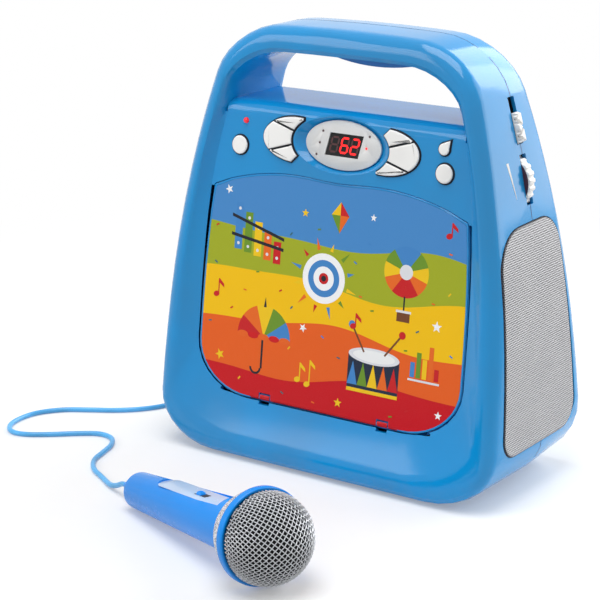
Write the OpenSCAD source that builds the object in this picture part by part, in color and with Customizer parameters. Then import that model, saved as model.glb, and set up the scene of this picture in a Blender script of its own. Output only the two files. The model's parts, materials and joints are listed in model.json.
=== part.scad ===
// Portable karaoke machine with a front disc bay, a carrying handle through
// the cabinet and a wired hand microphone. Millimetres, +Z up, front towards -Y.
// The origin is under the middle of the cabinet, on the surface it stands on.

/* [Cabinet] */
// Overall height of the cabinet, feet included
body_h = 300; // [296:1:312]
// Half width of the cabinet low down, where it is widest
body_hw = 136; // [134:1:142]
// How far each side draws in between the base and the top
body_taper = 44; // [38:1:46]
// Depth of the cabinet at the base
body_d = 134; // [128:1:146]
// Lean of the front rim away from the viewer, in degrees
front_lean = 6.8; // [6:0.1:7.4]
// Lean of the back towards the front, in degrees
rear_lean = 7.6; // [6:0.1:8.4]
// Wall thickness of the two cabinet shells
wall = 2.5; // [2:0.1:3]
// Radius of the rounded front lip
lip_r = 9; // [7:0.5:10]
// Radius of the rounded rear edge
rear_r = 7; // [5:0.5:8]
// Distance of the parting line behind the middle of the cabinet
part_y = 6; // [3:0.5:9]
// How much wider than the front the cabinet is at the back
rear_swell = 1.5; // [0:0.5:3]
// Height of the rubber feet below the shells
foot_h = 1.5; // [1:0.1:2.5]
// Radius of a foot
foot_r = 8; // [6:0.5:10]

/* [Fascia] */
// Depth of the fascia behind the front rim
recess_d = 8; // [7:0.5:10]
// Lean of the fascia, in degrees
panel_lean = 6.6; // [6.2:0.1:7]
// Thickness of the fascia
fascia_t = 3; // [2.5:0.1:3.4]
// Half width of the fascia opening low down
fascia_hw = 107.5; // [107:0.5:109]
// Height of the floor of the handle opening
handle_floor = 246.5; // [246:0.5:249]
// Height of the ceiling of the handle opening
handle_top = 281; // [279:0.5:283]
// Drop of the finger swelling under the grip
grip_drop = 10; // [6:0.5:11]

/* [Disc lid] */
// Height of the lid's bottom edge, along the fascia
lid_bottom = 43.8; // [43.4:0.1:46]
// Half width of the lid low down
lid_hw = 106; // [105:0.5:106.4]
// Height of the lid's top edge at its middle
lid_top = 200.5; // [198:0.5:201]
// Thickness of the lid
lid_t = 3; // [2.6:0.1:3.4]
// Gap round the lid and behind it
lid_gap = 0.5; // [0.4:0.1:0.8]
// Radius of the lid's hinge barrel
barrel_r = 2.3; // [2.1:0.1:2.5]
// Radius of the steel hinge pins
pin_r = 1; // [0.8:0.1:1.1]
// Running clearance of a pin or shaft in its bore
run_fit = 0.05; // [0.03:0.01:0.09]

/* [Disc drive] */
// Height of the disc's centre, along the fascia
disc_s = 119; // [116:1:122]
// Radius of a disc
disc_r = 60; // [60:1:61]
// Depth of the disc's lower face behind the fascia
disc_n = 19; // [18:0.5:20]
// Radius of the turntable
table_r = 15; // [13:0.5:16]
// Radius of the spindle motor
spindle_r = 11; // [9:0.5:12]
// Distance of the laser from the disc's centre at its home place
sled_home = 24; // [24:0.5:26]
// Travel of the laser sled
sled_travel = 34; // [28:1:34]
// Radius of the two guide rods
rod_r = 1.5; // [1.2:0.1:1.8]
// Distance of each guide rod from the middle
rod_x = 16; // [15.5:0.1:17]
// Module of the rack and its pinion
rack_m = 1; // [0.9:0.05:1.1]
// Teeth of the rack pinion
pinion_teeth = 14; // [13:1:15]
// Module of the wheel and the motor pinion
wheel_m = 0.6; // [0.55:0.01:0.62]
// Teeth of the feed wheel
wheel_teeth = 40; // [38:1:42]
// Teeth of the motor pinion
motor_teeth = 12; // [12:1:14]
// Backlash cut from each tooth
backlash = 0.25; // [0.2:0.01:0.35]

/* [Controls] */
// Height of the display's centre, along the fascia
display_s = 226; // [225:0.5:226.5]
// Half width of the display bezel
display_rx = 29.8; // [28:0.1:30.5]
// Half height of the display bezel
display_rz = 16.4; // [15:0.1:16.8]
// Depth of the dish that the display sits in
dish_d = 5; // [4:0.5:6]
// Half width of the dish at the fascia
dish_rx = 37.2; // [36.5:0.1:37.6]
// Half height of the dish at the fascia
dish_rz = 19.2; // [18.6:0.1:19.5]
// How far the keys stand proud of the fascia
key_proud = 1.8; // [1.4:0.1:2.4]
// Travel of every key
key_travel = 0.9; // [0.6:0.1:1]
// Gap round every key
key_gap = 0.6; // [0.4:0.05:0.7]
// Radius of the round buttons
button_r = 6.7; // [6:0.1:7]
// Distance of the round buttons from the middle
button_x = 81; // [80:0.5:82]
// Height of the round buttons, along the fascia
button_s = 217.5; // [216.5:0.5:218]
// Radius of the power light
led_r = 2; // [1.5:0.1:2.5]
// Distance between the fascia's back and the key board
board_n = 12; // [11:0.5:14]
// Thickness of the circuit boards
board_t = 1.6; // [1:0.1:2]

/* [Side controls] */
// Height of the function switch slot's centre
switch_z = 247.5; // [246:0.5:249]
// Length of the function switch slot
switch_slot = 31; // [30:0.5:32]
// Length of the function switch knob
switch_knob = 22; // [21:0.5:22]
// Height of the volume slot's centre
volume_z = 210; // [208:0.5:212]
// Radius of the volume wheel
volume_r = 20; // [19:0.5:21]
// How far the volume wheel stands out of the side
volume_proud = 4.5; // [4:0.5:5]
// Length of the volume wheel's slot
volume_slot = 33; // [32:0.5:34]
// Width of both side slots
slot_w = 8; // [7.5:0.1:9]

/* [Speakers] */
// Lower edge of the speaker grille
grille_low = 35; // [34:0.5:38]
// Upper edge of the speaker grille
grille_high = 184; // [178:1:186]
// Front edge of the grille, at its foot
grille_front = -47; // [-48:0.5:-45]
// Rear edge of the grille, at its foot
grille_rear = 51; // [48:0.5:51]
// Thickness of the perforated sheet
grille_t = 1; // [0.8:0.1:1.2]
// Radius of the speaker basket
speaker_r = 38.5; // [36:0.5:40]
// Height of the speaker's centre
speaker_z = 108; // [104:1:112]

/* [Battery bay] */
// Half width of the battery bay
bay_hw = 78; // [76:0.5:79]
// Lower edge of the battery bay, along the back
bay_low = 48; // [46:0.5:50]
// Height of the battery bay, two cells deep
bay_h = 56; // [54:0.5:58]
// Depth of the battery bay
bay_d = 30; // [29:0.5:32]
// Thickness of the battery door
door_t = 2.5; // [2:0.1:2.5]
// Overlap of the door round the bay
door_lap = 4; // [3.5:0.1:5]

/* [Sockets] */
// Distance of the sockets to the left of the middle
jack_x = 104; // [103:0.5:106]
// Height of the microphone socket in use
mic_jack_s = 52; // [50:0.5:54]
// Height of the second microphone socket
mic2_jack_s = 76; // [74:0.5:78]
// Height of the line socket
aux_jack_s = 96; // [94:0.5:98]
// Height of the power socket
power_jack_s = 114; // [112:0.5:115]
// Bore radius of a microphone socket
mic_bore_r = 3.2; // [3.1:0.05:3.3]
// Bore radius of the line socket
aux_bore_r = 1.8; // [1.7:0.05:1.9]
// Length of a socket
jack_l = 16; // [14:0.5:18]

/* [Microphone] */
// Radius of the woven ball
ball_r = 29; // [27:0.5:31]
// Distance from the tail to the ball's centre
mic_l = 155.4; // [150:0.2:165]
// Radius of the ring round the ball
ring_r = 30.2; // [30:0.1:33]
// Radius of the handle at its tail
tail_r = 12.2; // [11:0.1:13]
// Radius of the handle at its head
neck_r = 17.3; // [16:0.1:18]
// Direction that the microphone points in, in degrees from +X
mic_yaw = -21; // [-25:0.5:-17]
// Travel of the microphone's switch
mic_switch_travel = 4; // [3:0.5:4.5]
// Diameter of the cord
cord_d = 3.6; // [3.2:0.1:3.6]

/* [Hidden] */

$fn = 64;

// Points per stretch of a half outline: base, corners and top, and those up the side
base_steps = 4;
corner_steps = 7;
side_places = [0.1, 0.2, 0.3, 0.4, 0.5, 0.6, 0.7, 0.79, 0.86, 0.885, 0.91, 0.935, 0.965];
top_steps = 4;
seat = 0.3;          // gap at which one fixed piece lies on another
eps = 0.01;

// ---- surfaces of the cabinet ----
function front_y(z) = -body_d / 2 + z * tan(front_lean);
function rear_y(z) = body_d / 2 - z * tan(rear_lean);
function panel_y(z) = -body_d / 2 + recess_d + z * tan(panel_lean);
function mix(a, b, t) = a * (1 - t) + b * t;
function clamp01(t) = max(0, min(1, t));

// Half width of an outline that draws in by a power law: [z low, z high, half width, taper, power]
function half_w(o, z) = o[2] - o[3] * pow(clamp01((z - o[0]) / (o[1] - o[0])), o[4]);
// Right half of an outline, from the middle of the base to the middle of the top;
// o[5], o[6] are the base corner's radii, o[7], o[8] the top corner's, o[9] the arch of the top
function half_outline(o) =
  let (xb = o[2] - o[5], xt = half_w(o, o[1]) - o[7])
  concat(
    [for (i = [0 : base_steps - 1]) [xb * i / base_steps, o[0]]],
    [for (i = [0 : corner_steps])
      let (a = 90 * i / corner_steps, z = o[0] + o[6] * (1 - cos(a)))
      [half_w(o, z) - o[5] * (1 - sin(a)), z]],
    [for (f = side_places) let (z = mix(o[0] + o[6], o[1] - o[8], f)) [half_w(o, z), z]],
    [for (i = [0 : corner_steps])
      let (a = 90 * i / corner_steps, z = o[1] - o[8] * (1 - sin(a)))
      [half_w(o, z) - o[7] * (1 - cos(a)), z]],
    [for (i = [1 : top_steps])
      let (x = xt * (1 - i / top_steps)) [x, o[1] + o[9] * (1 - pow(x / xt, 2))]]);
function mirrored(h) = concat(h, [for (i = [len(h) - 2 : -1 : 1]) [-h[i][0], h[i][1]]]);
// Inset of a closed outline by its own normals
function inward(p, i) =
  let (n = len(p), t = p[(i + 1) % n] - p[(i + n - 1) % n]) [-t[1], t[0]] / norm(t);
function inset(p, d) = [for (i = [0 : len(p) - 1]) p[i] + d * inward(p, i)];
function blend(p, q, t) = [for (i = [0 : len(p) - 1]) mix(p[i], q[i], t)];

shell_o = [foot_h, body_h - 1, body_hw, body_taper, 2.55, 49, 37, 39, 34, 1];
back_o = [foot_h, body_h - 1.5, body_hw + rear_swell, body_taper + rear_swell, 2.45,
  55, 50, 39, 35, 1];
crease_o = [17, handle_top + 1.5, fascia_hw + 13.5, 37, 3, 52, 34, 36, 26, 0.6];
fascia_o = [lid_bottom - 1, handle_top, fascia_hw, 31, 4.1, 44, 36, 30, 24, 0];
outer_loop = mirrored(half_outline(shell_o));
back_loop = mirrored(half_outline(back_o));
crease_loop = mirrored(half_outline(crease_o));
fascia_loop = mirrored(half_outline(fascia_o));
function side_x(z) = half_w(shell_o, z);
function side_slope(z) = atan((side_x(z - 1) - side_x(z + 1)) / 2);

// 0 where the fascia closes the opening, 1 where the handle opening runs right through
function through(z) = clamp01((z - (handle_floor - 13)) / 8);

// A closed ring lofted through its sections, each a list of points in the same order
module ring_loft(s) {
  m = len(s);
  n = len(s[0]);
  polyhedron(
    points = [for (sec = s) each sec],
    faces = [for (j = [0 : m - 1], i = [0 : n - 1])
      let (a = j * n + i, b = j * n + (i + 1) % n,
        c = ((j + 1) % m) * n + (i + 1) % n, d = ((j + 1) % m) * n + i)
      each i < n / 2 ? [[a, d, b], [b, d, c]] : [[a, c, b], [a, d, c]]]);
}
// A section at a depth behind the front rim, and one at a fixed depth in the cabinet
function behind_front(p, d) = [for (q = p) [q[0], front_y(q[1]) + d, q[1]]];
function before_rear(p, d) = [for (q = p) [q[0], rear_y(q[1]) - d, q[1]]];
function at_y(p, y) = [for (q = p) [q[0], y, q[1]]];
// Wall of the fascia opening: on the fascia low down, at the parting line in the handle opening
function fascia_edge(p, back) =
  [for (i = [0 : len(p) - 1])
    let (z = p[i][1], k = through(fascia_loop[i][1]))
    [p[i][0], mix(panel_y(z) + back, part_y, k), z]];
function flare(t_low, t_high, d_low, d_high) =
  [for (i = [0 : len(crease_loop) - 1])
    let (k = through(fascia_loop[i][1]), q = mix(crease_loop[i], fascia_loop[i], mix(t_low, t_high, k)))
    [q[0], front_y(q[1]) + mix(d_low, d_high, k), q[1]]];
function outset(p, d) = inset(p, -d);
// The fascia's edge grown outwards, by other amounts low down and in the handle opening
function fascia_grown(g_low, g_high) =
  [for (i = [0 : len(fascia_loop) - 1])
    fascia_loop[i] - mix(g_low, g_high, through(fascia_loop[i][1])) * inward(fascia_loop, i)];
function flare_back() =
  let (o = outset(fascia_loop, wall + 0.3))
  [for (i = [0 : len(o) - 1])
    let (k = through(fascia_loop[i][1] + 8), q = mix(mix(crease_loop[i], fascia_loop[i], 0.5), o[i], k))
    [q[0], front_y(q[1]) + mix(recess_d / 2 + wall, recess_d + 7, k), q[1]]];

// ---- work planes ----
// The fascia: x to the right, y up along it, z out towards the viewer
module on_fascia() {
  translate([0, panel_y(0), 0]) rotate([90 - panel_lean, 0, 0]) children();
}
// The back: x to the right seen from the front, y up along it, z into the cabinet
module on_back() {
  translate([0, rear_y(0), 0]) rotate([90 + rear_lean, 0, 0]) children();
}
// The right side at a height: x down the side, y to the back, z out of the side
module on_side(z) {
  translate([side_x(z), part_y, z]) rotate([0, 90 - side_slope(z), 0]) children();
}
module both_sides() {
  children();
  mirror([1, 0, 0]) children();
}
// A slab between two depths in front of a work plane
module slab(low, high) {
  translate([0, 0, low]) linear_extrude(high - low) children();
}
// A profile in y and z carried along x
module along_x(w) {
  rotate([90, 0, 90]) linear_extrude(w, center = true) children();
}
// Polygon with each corner rounded by its own radius: corners [x, y, r]
function corner_arc(p, q, r, s, steps) =
  let (u = (p - q) / norm(p - q), v = (s - q) / norm(s - q), h = acos(u * v) / 2,
    c = q + (u + v) / norm(u + v) * r / sin(h), a = q + u * r / tan(h) - c,
    b = q + v * r / tan(h) - c, t = acos(max(-1, min(1, a * b / r / r))),
    w = sign(a[0] * b[1] - a[1] * b[0]))
  [for (i = [0 : steps])
    let (g = w * t * i / steps) c + [a[0] * cos(g) - a[1] * sin(g), a[0] * sin(g) + a[1] * cos(g)]];
function rounded(c, steps = 8) =
  [for (i = [0 : len(c) - 1])
    let (n = len(c), p = c[(i + n - 1) % n], q = c[i], s = c[(i + 1) % n])
    each corner_arc([p[0], p[1]], [q[0], q[1]], q[2], [s[0], s[1]], steps)];
function ellipse_points(rx, ry, steps = 64) =
  [for (i = [0 : steps - 1]) [rx * cos(360 * i / steps), ry * sin(360 * i / steps)]];
// A solid between two outlines of as many points, at two heights
module frustum(p, low, q, high) {
  n = len(p);
  polyhedron(
    points = concat([for (a = p) [a[0], a[1], low]], [for (a = q) [a[0], a[1], high]]),
    faces = concat([[for (i = [0 : n - 1]) i]], [[for (i = [n - 1 : -1 : 0]) n + i]],
      [for (i = [0 : n - 1]) each [[i, n + i, (i + 1) % n], [(i + 1) % n, n + i, n + (i + 1) % n]]]));
}
module ellipse(rx, ry) {
  polygon(ellipse_points(rx, ry));
}

// ---- housing screws ----
screw_spots = [[92, 25], [45, 290.3]];
screw_r = 1.5;
screw_head_r = 3.2;
screw_head_h = 2.2;
post_r = 4;
handle_post_r = 3.6;
head_depth = 9;       // depth of the screw heads in the back
function post_radius(s) = s[1] > handle_top ? handle_post_r : post_r;
module along_y(y0, y1) {
  translate([0, y0, 0]) rotate([-90, 0, 0]) linear_extrude(y1 - y0) children();
}

// ---- speaker openings ----
grille_corners = [
  [grille_front, grille_low, 14], [grille_rear, grille_low + 1, 18],
  [grille_rear - 15, grille_high, 20], [grille_front + 8, grille_high - 2, 28]];
function grown(c, g) =
  [[c[0][0] - g, c[0][1] - g, c[0][2] + g], [c[1][0] + g, c[1][1] - g, c[1][2] + g],
   [c[2][0] + g, c[2][1] + g, c[2][2] + g], [c[3][0] - g, c[3][1] + g, c[3][2] + g]];
module grille_outline(g = 0) {
  polygon(rounded(grown(grille_corners, g)));
}
// A solid between two depths under the side's surface, inside the grille outline grown by g
module side_skin(low, high, g) {
  zs = [for (i = [0 : 16]) mix(grille_low - 12, grille_high + 12, i / 16)];
  intersection() {
    rotate([90, 0, 0]) linear_extrude(2 * body_d, center = true)
      polygon(concat([for (z = zs) [side_x(z) + low, z]],
        [for (i = [16 : -1 : 0]) [side_x(zs[i]) + high, zs[i]]]));
    translate([body_hw / 2, 0, 0]) along_x(body_hw) grille_outline(g);
  }
}
module grille_cut() {
  both_sides() translate([body_hw, 0, 0]) along_x(60) grille_outline(0.3);
}

// ---- side slots, shared by both shells ----
module side_slots() {
  on_side(switch_z) translate([-switch_slot / 2, -slot_w / 2, -9]) cube([switch_slot, slot_w, 14]);
  on_side(volume_z) translate([-volume_slot / 2, -slot_w / 2, -9]) cube([volume_slot, slot_w, 14]);
}

// ---- lid outline ----
// Side of the lid: nearly upright low down, drawn in towards the top
function lid_side(s) = lid_hw - 5 * pow(clamp01((s - 78) / 110), 2.5);
function lid_half(g) =
  let (b = lid_bottom - g, rx = 44, rz = 35.5, s1 = 188, x1 = lid_side(s1))
  concat(
    [[0, b]],
    [for (i = [0 : 10]) let (a = 9 * i)
      [lid_hw + g - (rx + g) * (1 - sin(a)), b + (rz + g) * (1 - cos(a))]],
    [for (s = [105, 130, 150, 170]) [lid_side(s) + g, s]],
    [for (i = [0 : 4]) let (a = 22.5 * i) [x1 + g - 3 * (1 - cos(a)), s1 - 2 + g + 3 * sin(a)]],
    [for (i = [1 : 6]) let (x = mix(x1 - 4, 33, i / 6))
      [x, lid_top + 1.5 + g - 12.2 * pow((x - 33) / (x1 - 36), 2)]],
    [for (x = [22, 11, 0]) [x, lid_top + g + 1.5 * (1 - cos(180 * x / 33)) / 2]]);
module lid_outline(g = 0) {
  polygon(mirrored(lid_half(g)));
}
axis_s = lid_bottom + barrel_r;
axis_n = -barrel_r;
ear_x = 48;
ear_w = 8;
pin_l = 20;
hinge_hw = 80;       // half width over which the lid's lower edge is rounded

// ---- keys ----
key_floor = -fascia_t - seat;
key_flange = 1.4;
crescent_x = 35;
crescent_rx = 27;
crescent_rz = 15.6;
module key_field(g, dish_g) {
  // Left crescent: an ellipse less the dish's own, with both tips cut off
  difference() {
    translate([-crescent_x, display_s]) ellipse(crescent_rx + g, crescent_rz + g);
    translate([0, display_s]) ellipse(dish_rx + 1.4 - dish_g, dish_rz + 1.3 - dish_g);
    translate([-29.5 + g, display_s]) square([60, 40]);
    translate([-36, display_s - 13.6 - g]) rotate(-45) translate([0, -30]) square([40, 60]);
  }
}
// The three keys of a crescent lie between these lines, each [x, s, angle]
split_high = [-44, display_s + 8, 163];
split_low = [-46.8, display_s - 6.2, 17];
module above(line, g) {
  translate([line[0], line[1]]) rotate(line[2] > 90 ? line[2] - 180 : line[2])
    translate([-60, g]) square([120, 60]);
}
module below(line, g) {
  translate([line[0], line[1]]) rotate(line[2] > 90 ? line[2] - 180 : line[2])
    translate([-60, -60 - g]) square([120, 60]);
}
module key_shape(which, g, half) {
  intersection() {
    key_field(g, 0);
    if (which == 0) above(split_high, half);
    if (which == 1) intersection() {
      below(split_high, half);
      above(split_low, half);
    }
    if (which == 2) below(split_low, half);
  }
}
module teardrop_shape(g) {
  translate([button_x - 1.6, button_s + 15.6]) {
    circle(4.3 + g);
    polygon([[-1.5, 3.9 + g], [4.9 + g, 6.6 + g], [4.1 + g, -1]]);
  }
}
// The flange of a crescent key stops short of the handle's sill
sill_s = (handle_floor - 9.5) / cos(panel_lean) - seat;
module key_back(which, upright) {
  key_shape(which, 0, key_gap / 2);
  intersection() {
    key_shape(which, 1.3, key_gap / 3);
    translate([-100, upright ? sill_s - 100 : 2 * display_s - sill_s]) square([200, 100]);
  }
}
// A key: its cap through the fascia, its flange behind it and its stem
module key() {
  slab(key_floor - eps, key_proud) children(0);
  slab(key_floor - key_flange, key_floor) children(1);
}
module stem(x, s) {
  translate([x, s, -board_n + 3.5 + 0.6 + 1.2]) cylinder(r = 1.6, h = board_n - 5.3 + key_floor, $fn = 24);
}
module turned() {
  // Half a turn about the display's centre
  translate([0, display_s, 0]) rotate([0, 0, 180]) translate([0, -display_s, 0]) children();
}
key_spots = [[-40, 13], [-50, 0.5], [-44, -9.5]];

// ================= cabinet =================
module front_ring() {
  o = outer_loop;
  ring_loft([
    at_y(o, part_y),
    behind_front(o, lip_r),
    behind_front(inset(o, lip_r * (1 - cos(30))), lip_r * (1 - sin(30))),
    behind_front(inset(o, lip_r * (1 - cos(60))), lip_r * (1 - sin(60))),
    behind_front(inset(o, lip_r), 0),
    behind_front(blend(inset(o, lip_r), crease_loop, 0.72), 0.4),
    flare(0.1, 0.3, 1.8, 2.6),
    flare(0.52, 0.86, 5, 10),
    fascia_edge(fascia_loop, 0),
    fascia_edge(fascia_grown(2, wall), fascia_t + 0.6),
    flare_back(),
    behind_front(blend(inset(o, lip_r), crease_loop, 0.72), 0.4 + wall + 0.8),
    behind_front(inset(o, lip_r * 0.6), wall + 0.9),
    behind_front(inset(o, wall), lip_r),
    at_y(inset(o, wall), part_y)]);
}
module fascia_plate() {
  // The control fascia, above the lid's top edge
  high = (handle_floor - 9.2) / cos(panel_lean);
  on_fascia() slab(-fascia_t, -0.03) difference() {
    intersection() {
      polygon([for (p = outset(fascia_loop, 3)) [p[0], p[1] / cos(panel_lean)]]);
      translate([-body_hw, lid_top - 16]) square([2 * body_hw, high - lid_top + 16]);
    }
    lid_outline(lid_gap);
    translate([-body_hw, 0]) square([2 * body_hw, 187]);
  }
}
// Floor of the handle opening with its roll down to the fascia or the back
module handle_sill(y_low, y_turn, y_end) {
  d = sign(y_end - y_low);
  z0 = handle_floor - 9.5;
  steps = 6;
  top = concat(
    [[y_low + d * 0.1, z0]],
    [for (i = [0 : steps]) let (a = 90 * i / steps)
      [mix(y_low + d * 0.3, y_turn, 1 - cos(a)), z0 + 1 + 8.5 * sin(a)]],
    [[y_end, handle_floor]]);
  under = [[y_end, handle_floor - wall], [y_turn + d, handle_floor - wall],
    [y_low + d * (wall + 2), z0 + 4], [y_low + d * wall, z0]];
  along_x(188) polygon(concat(top, under));
}
module front_shell() {
  color([0.24, 0.56, 0.84]) difference() {
    union() {
      front_ring();
      fascia_plate();
      handle_sill(panel_y(handle_floor - 9.5), panel_y(handle_floor) + 9, part_y);
      // Dish round the display
      on_fascia() translate([0, display_s, 0]) frustum(
        ellipse_points(display_rx + 2.5, display_rz + 2.5), -dish_d - 2,
        ellipse_points(dish_rx + 1.5, dish_rz + 1), -0.5);
      // Posts that carry the key board
      on_fascia() for (x = [-69, 69], s = [212.5, 237.5]) translate([x, s, -board_n])
        cylinder(r = 2.4, h = board_n - 1, $fn = 24);
      // Posts that the housing screws bite into
      both_sides() for (s = screw_spots) translate([s[0], 0, s[1]])
        along_y(front_y(s[1]) + (s[1] > handle_top ? 2 : 5), part_y) circle(post_radius(s), $fn = 32);
    }
    on_fascia() translate([0, display_s, 0]) frustum(
      ellipse_points(display_rx + 0.4, display_rz + 0.4), -dish_d, ellipse_points(dish_rx, dish_rz), 0.1);
    on_fascia() slab(-dish_d - 3, -dish_d + 0.5) translate([0, display_s]) ellipse(display_rx - 1.6, display_rz - 1.6);
    on_fascia() slab(-fascia_t - 4, 3) {
      key_field(key_gap, key_gap);
      translate([0, display_s]) rotate(180) translate([0, -display_s]) key_field(key_gap, key_gap);
      for (x = [-button_x, button_x]) translate([x, button_s]) circle(button_r + key_gap);
      teardrop_shape(key_gap);
      translate([-77.5, 234.5]) circle(led_r + 0.1);
    }
    on_fascia() for (x = [-69, 69], s = [212.5, 237.5]) translate([x, s, -board_n - 1])
      cylinder(r = 0.9, h = 7, $fn = 24);
    both_sides() for (s = screw_spots) translate([s[0], 0, s[1]])
      along_y(part_y - 16, part_y + 1) circle(screw_r, $fn = 24);
    grille_cut();
    side_slots();
    // Relief under each lower corner of the lid, which swings through it
    on_fascia() both_sides() translate([hinge_hw - 6.5, axis_s, axis_n]) rotate([0, 90, 0])
      cylinder(r = barrel_r + 0.45, h = 12, $fn = 32);
    // Notch over each hinge ear, in the edge of the shelf
    on_fascia() both_sides() translate([ear_x - ear_w / 2 - seat, lid_bottom - 3, -fascia_t - 4])
      cube([ear_w + 2 * seat, 5, 9]);
  }
}
module rear_ring() {
  o = back_loop;
  edge = function (p, d, y_in) [for (i = [0 : len(p) - 1])
    let (z = p[i][1], k = through(fascia_loop[i][1]))
    [p[i][0], mix(rear_y(z) - d, y_in, k), z]];
  deep = function (p, d_low, d_high) [for (i = [0 : len(p) - 1])
    let (z = p[i][1], k = through(fascia_loop[i][1])) [p[i][0], rear_y(z) - mix(d_low, d_high, k), z]];
  ring_loft([for (s = [
    at_y(outer_loop, part_y),
    before_rear(o, rear_r),
    before_rear(inset(o, rear_r * (1 - cos(30))), rear_r * (1 - sin(30))),
    before_rear(inset(o, rear_r * (1 - cos(60))), rear_r * (1 - sin(60))),
    before_rear(inset(o, rear_r), 0),
    deep(fascia_grown(3, 4.5), 0, 0.8),
    deep(fascia_grown(1.5, 1.2), 0, 3.2),
    deep(fascia_grown(0.5, 0), 0, 8),
    edge(fascia_loop, 0, part_y),
    edge(fascia_grown(0.3, wall), wall + 0.4, part_y),
    deep(fascia_grown(5, wall + 0.4), wall, 10),
    before_rear(inset(o, rear_r * 0.9), wall),
    before_rear(inset(o, wall), rear_r),
    at_y(inset(outer_loop, wall), part_y)]) [for (i = [len(s) - 1 : -1 : 0]) s[i]]]);
}
module rear_shell() {
  high = (handle_floor - 9.2) / cos(rear_lean);
  color([0.40, 0.68, 0.90]) difference() {
    union() {
      rear_ring();
      on_back() slab(0.03, wall + 0.2) intersection() {
        polygon([for (p = outset(fascia_loop, 2)) [p[0], p[1] / cos(rear_lean)]]);
        translate([-body_hw, 0]) square([2 * body_hw, high]);
      }
      handle_sill(rear_y(handle_floor - 9.5), rear_y(handle_floor) - 9, part_y);
      // Finger swelling under the grip
      intersection() {
        translate([0, 0, handle_top + 150 - grip_drop]) along_y(part_y + 4, rear_y(handle_top) - 4)
          circle(150, $fn = 180);
        translate([-60, part_y, handle_top - 30]) cube([120, 60, 31]);
      }
      both_sides() for (s = screw_spots) translate([s[0], 0, s[1]])
        along_y(part_y, rear_y(s[1]) - 1) circle(post_radius(s) + (s[1] > handle_top ? 0 : 1), $fn = 32);
      // Posts that carry the main board
      on_back() for (x = [-62, 62], s = [132, 196]) translate([x, s, 1]) cylinder(r = 3, h = 9, $fn = 24);
    }
    both_sides() for (s = screw_spots) translate([s[0], 0, s[1]]) {
      along_y(part_y - 1, rear_y(s[1]) + 2) circle(screw_r + 0.1, $fn = 24);
      along_y(rear_y(s[1]) - head_depth, rear_y(s[1]) + 2) circle(s[1] > handle_top ? screw_head_r - 0.2 + 0.3 : screw_head_r + 0.5, $fn = 24);
    }
    grille_cut();
    side_slots();
    // Battery bay with the door's rebate, and the socket plate's opening
    on_back() {
      slab(-1, wall + 1) translate([-bay_hw, bay_low - door_lap]) square([2 * bay_hw, bay_h + door_lap]);
      slab(-1, door_t - wall + 1.6) translate([-bay_hw - door_lap, bay_low - door_lap])
        square([2 * bay_hw + 2 * door_lap, bay_h + 2 * door_lap]);
      slab(-1, wall + 1) socket_opening(0);
      for (x = [-62, 62], s = [132, 196]) translate([x, s, 4]) cylinder(r = 1, h = 7, $fn = 24);
    }
  }
}
module feet() {
  color([0.12, 0.12, 0.13]) both_sides() for (y = [-38, 40])
    translate([78, y, 0]) cylinder(r = foot_r, h = foot_h);
}
module housing_screws() {
  color([0.62, 0.63, 0.65]) both_sides() for (s = screw_spots) translate([s[0], 0, s[1]]) {
    along_y(part_y - 12, rear_y(s[1]) - head_depth + eps) circle(screw_r, $fn = 24);
    along_y(rear_y(s[1]) - head_depth, rear_y(s[1]) - head_depth + screw_head_h)
      circle(screw_head_r - (s[1] > handle_top ? 0.4 : 0), $fn = 24);
  }
}

// ================= disc lid and tray =================
module barrel_pieces() {
  // Straight hinge edge of the lid between its rounded corners
  translate([-60, axis_s, axis_n]) rotate([0, 90, 0]) cylinder(r = barrel_r, h = 120, $fn = 32);
}
module disc_lid() {
  color([0.30, 0.56, 0.80]) on_fascia() difference() {
    union() {
      difference() {
        slab(-lid_t, 0) lid_outline();
        translate([-60, lid_bottom - 1, -lid_t - 1]) cube([120, barrel_r + 1, lid_t + 2]);
      }
      barrel_pieces();
      // Skirt that drops into the tray's mouth
      slab(-lid_t - 4, -lid_t + eps) difference() {
        lid_outline(-3);
        lid_outline(-5);
        translate([-66, lid_bottom - 1]) square([132, 16]);
      }
      // Catch behind the top edge
      translate([-6, lid_top - 5.5, -lid_t - 8]) cube([12, 2.5, 8 + eps]);
      translate([-6, lid_top - 5.5, -lid_t - 8]) cube([12, 3.7, 1.4]);
    }
    slab(-0.5, 1) lid_outline(-1.2);
    // Lower edge rounded about the hinge, so that it turns clear of the shelf
    difference() {
      translate([-hinge_hw, lid_bottom - 1, -lid_t - 1]) cube([2 * hinge_hw, barrel_r + 1, lid_t + 2]);
      translate([-hinge_hw - 1, axis_s, axis_n]) rotate([0, 90, 0])
        cylinder(r = barrel_r + 0.4, h = 2 * hinge_hw + 2, $fn = 32);
    }
    both_sides() {
      translate([ear_x - ear_w / 2 - seat, lid_bottom - 1, -lid_t - 3])
        cube([ear_w + 2 * seat, 2 * barrel_r + 2, lid_t + 4]);
      translate([ear_x - pin_l / 2 - 0.5, axis_s, axis_n]) rotate([0, 90, 0])
        cylinder(r = pin_r + run_fit, h = pin_l + 20, $fn = 32);
    }
  }
}
module lid_picture() {
  color([0.93, 0.62, 0.16]) on_fascia() slab(-0.5, 0) difference() {
    lid_outline(-1.3);
    translate([-61, lid_bottom - 1]) square([122, 2 * barrel_r + 1.6]);
  }
}
module lid_hinge_pins() {
  color([0.75, 0.75, 0.77]) on_fascia() both_sides()
    translate([ear_x - pin_l / 2, axis_s, axis_n]) rotate([0, 90, 0]) cylinder(r = pin_r, h = pin_l, $fn = 32);
}
tray_floor = disc_n + 3.5;
tray_t = 2;
flange_n = fascia_t + seat;
slot_hw = 13.6;
slot_far = sled_home + sled_travel + 10.5;
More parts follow.
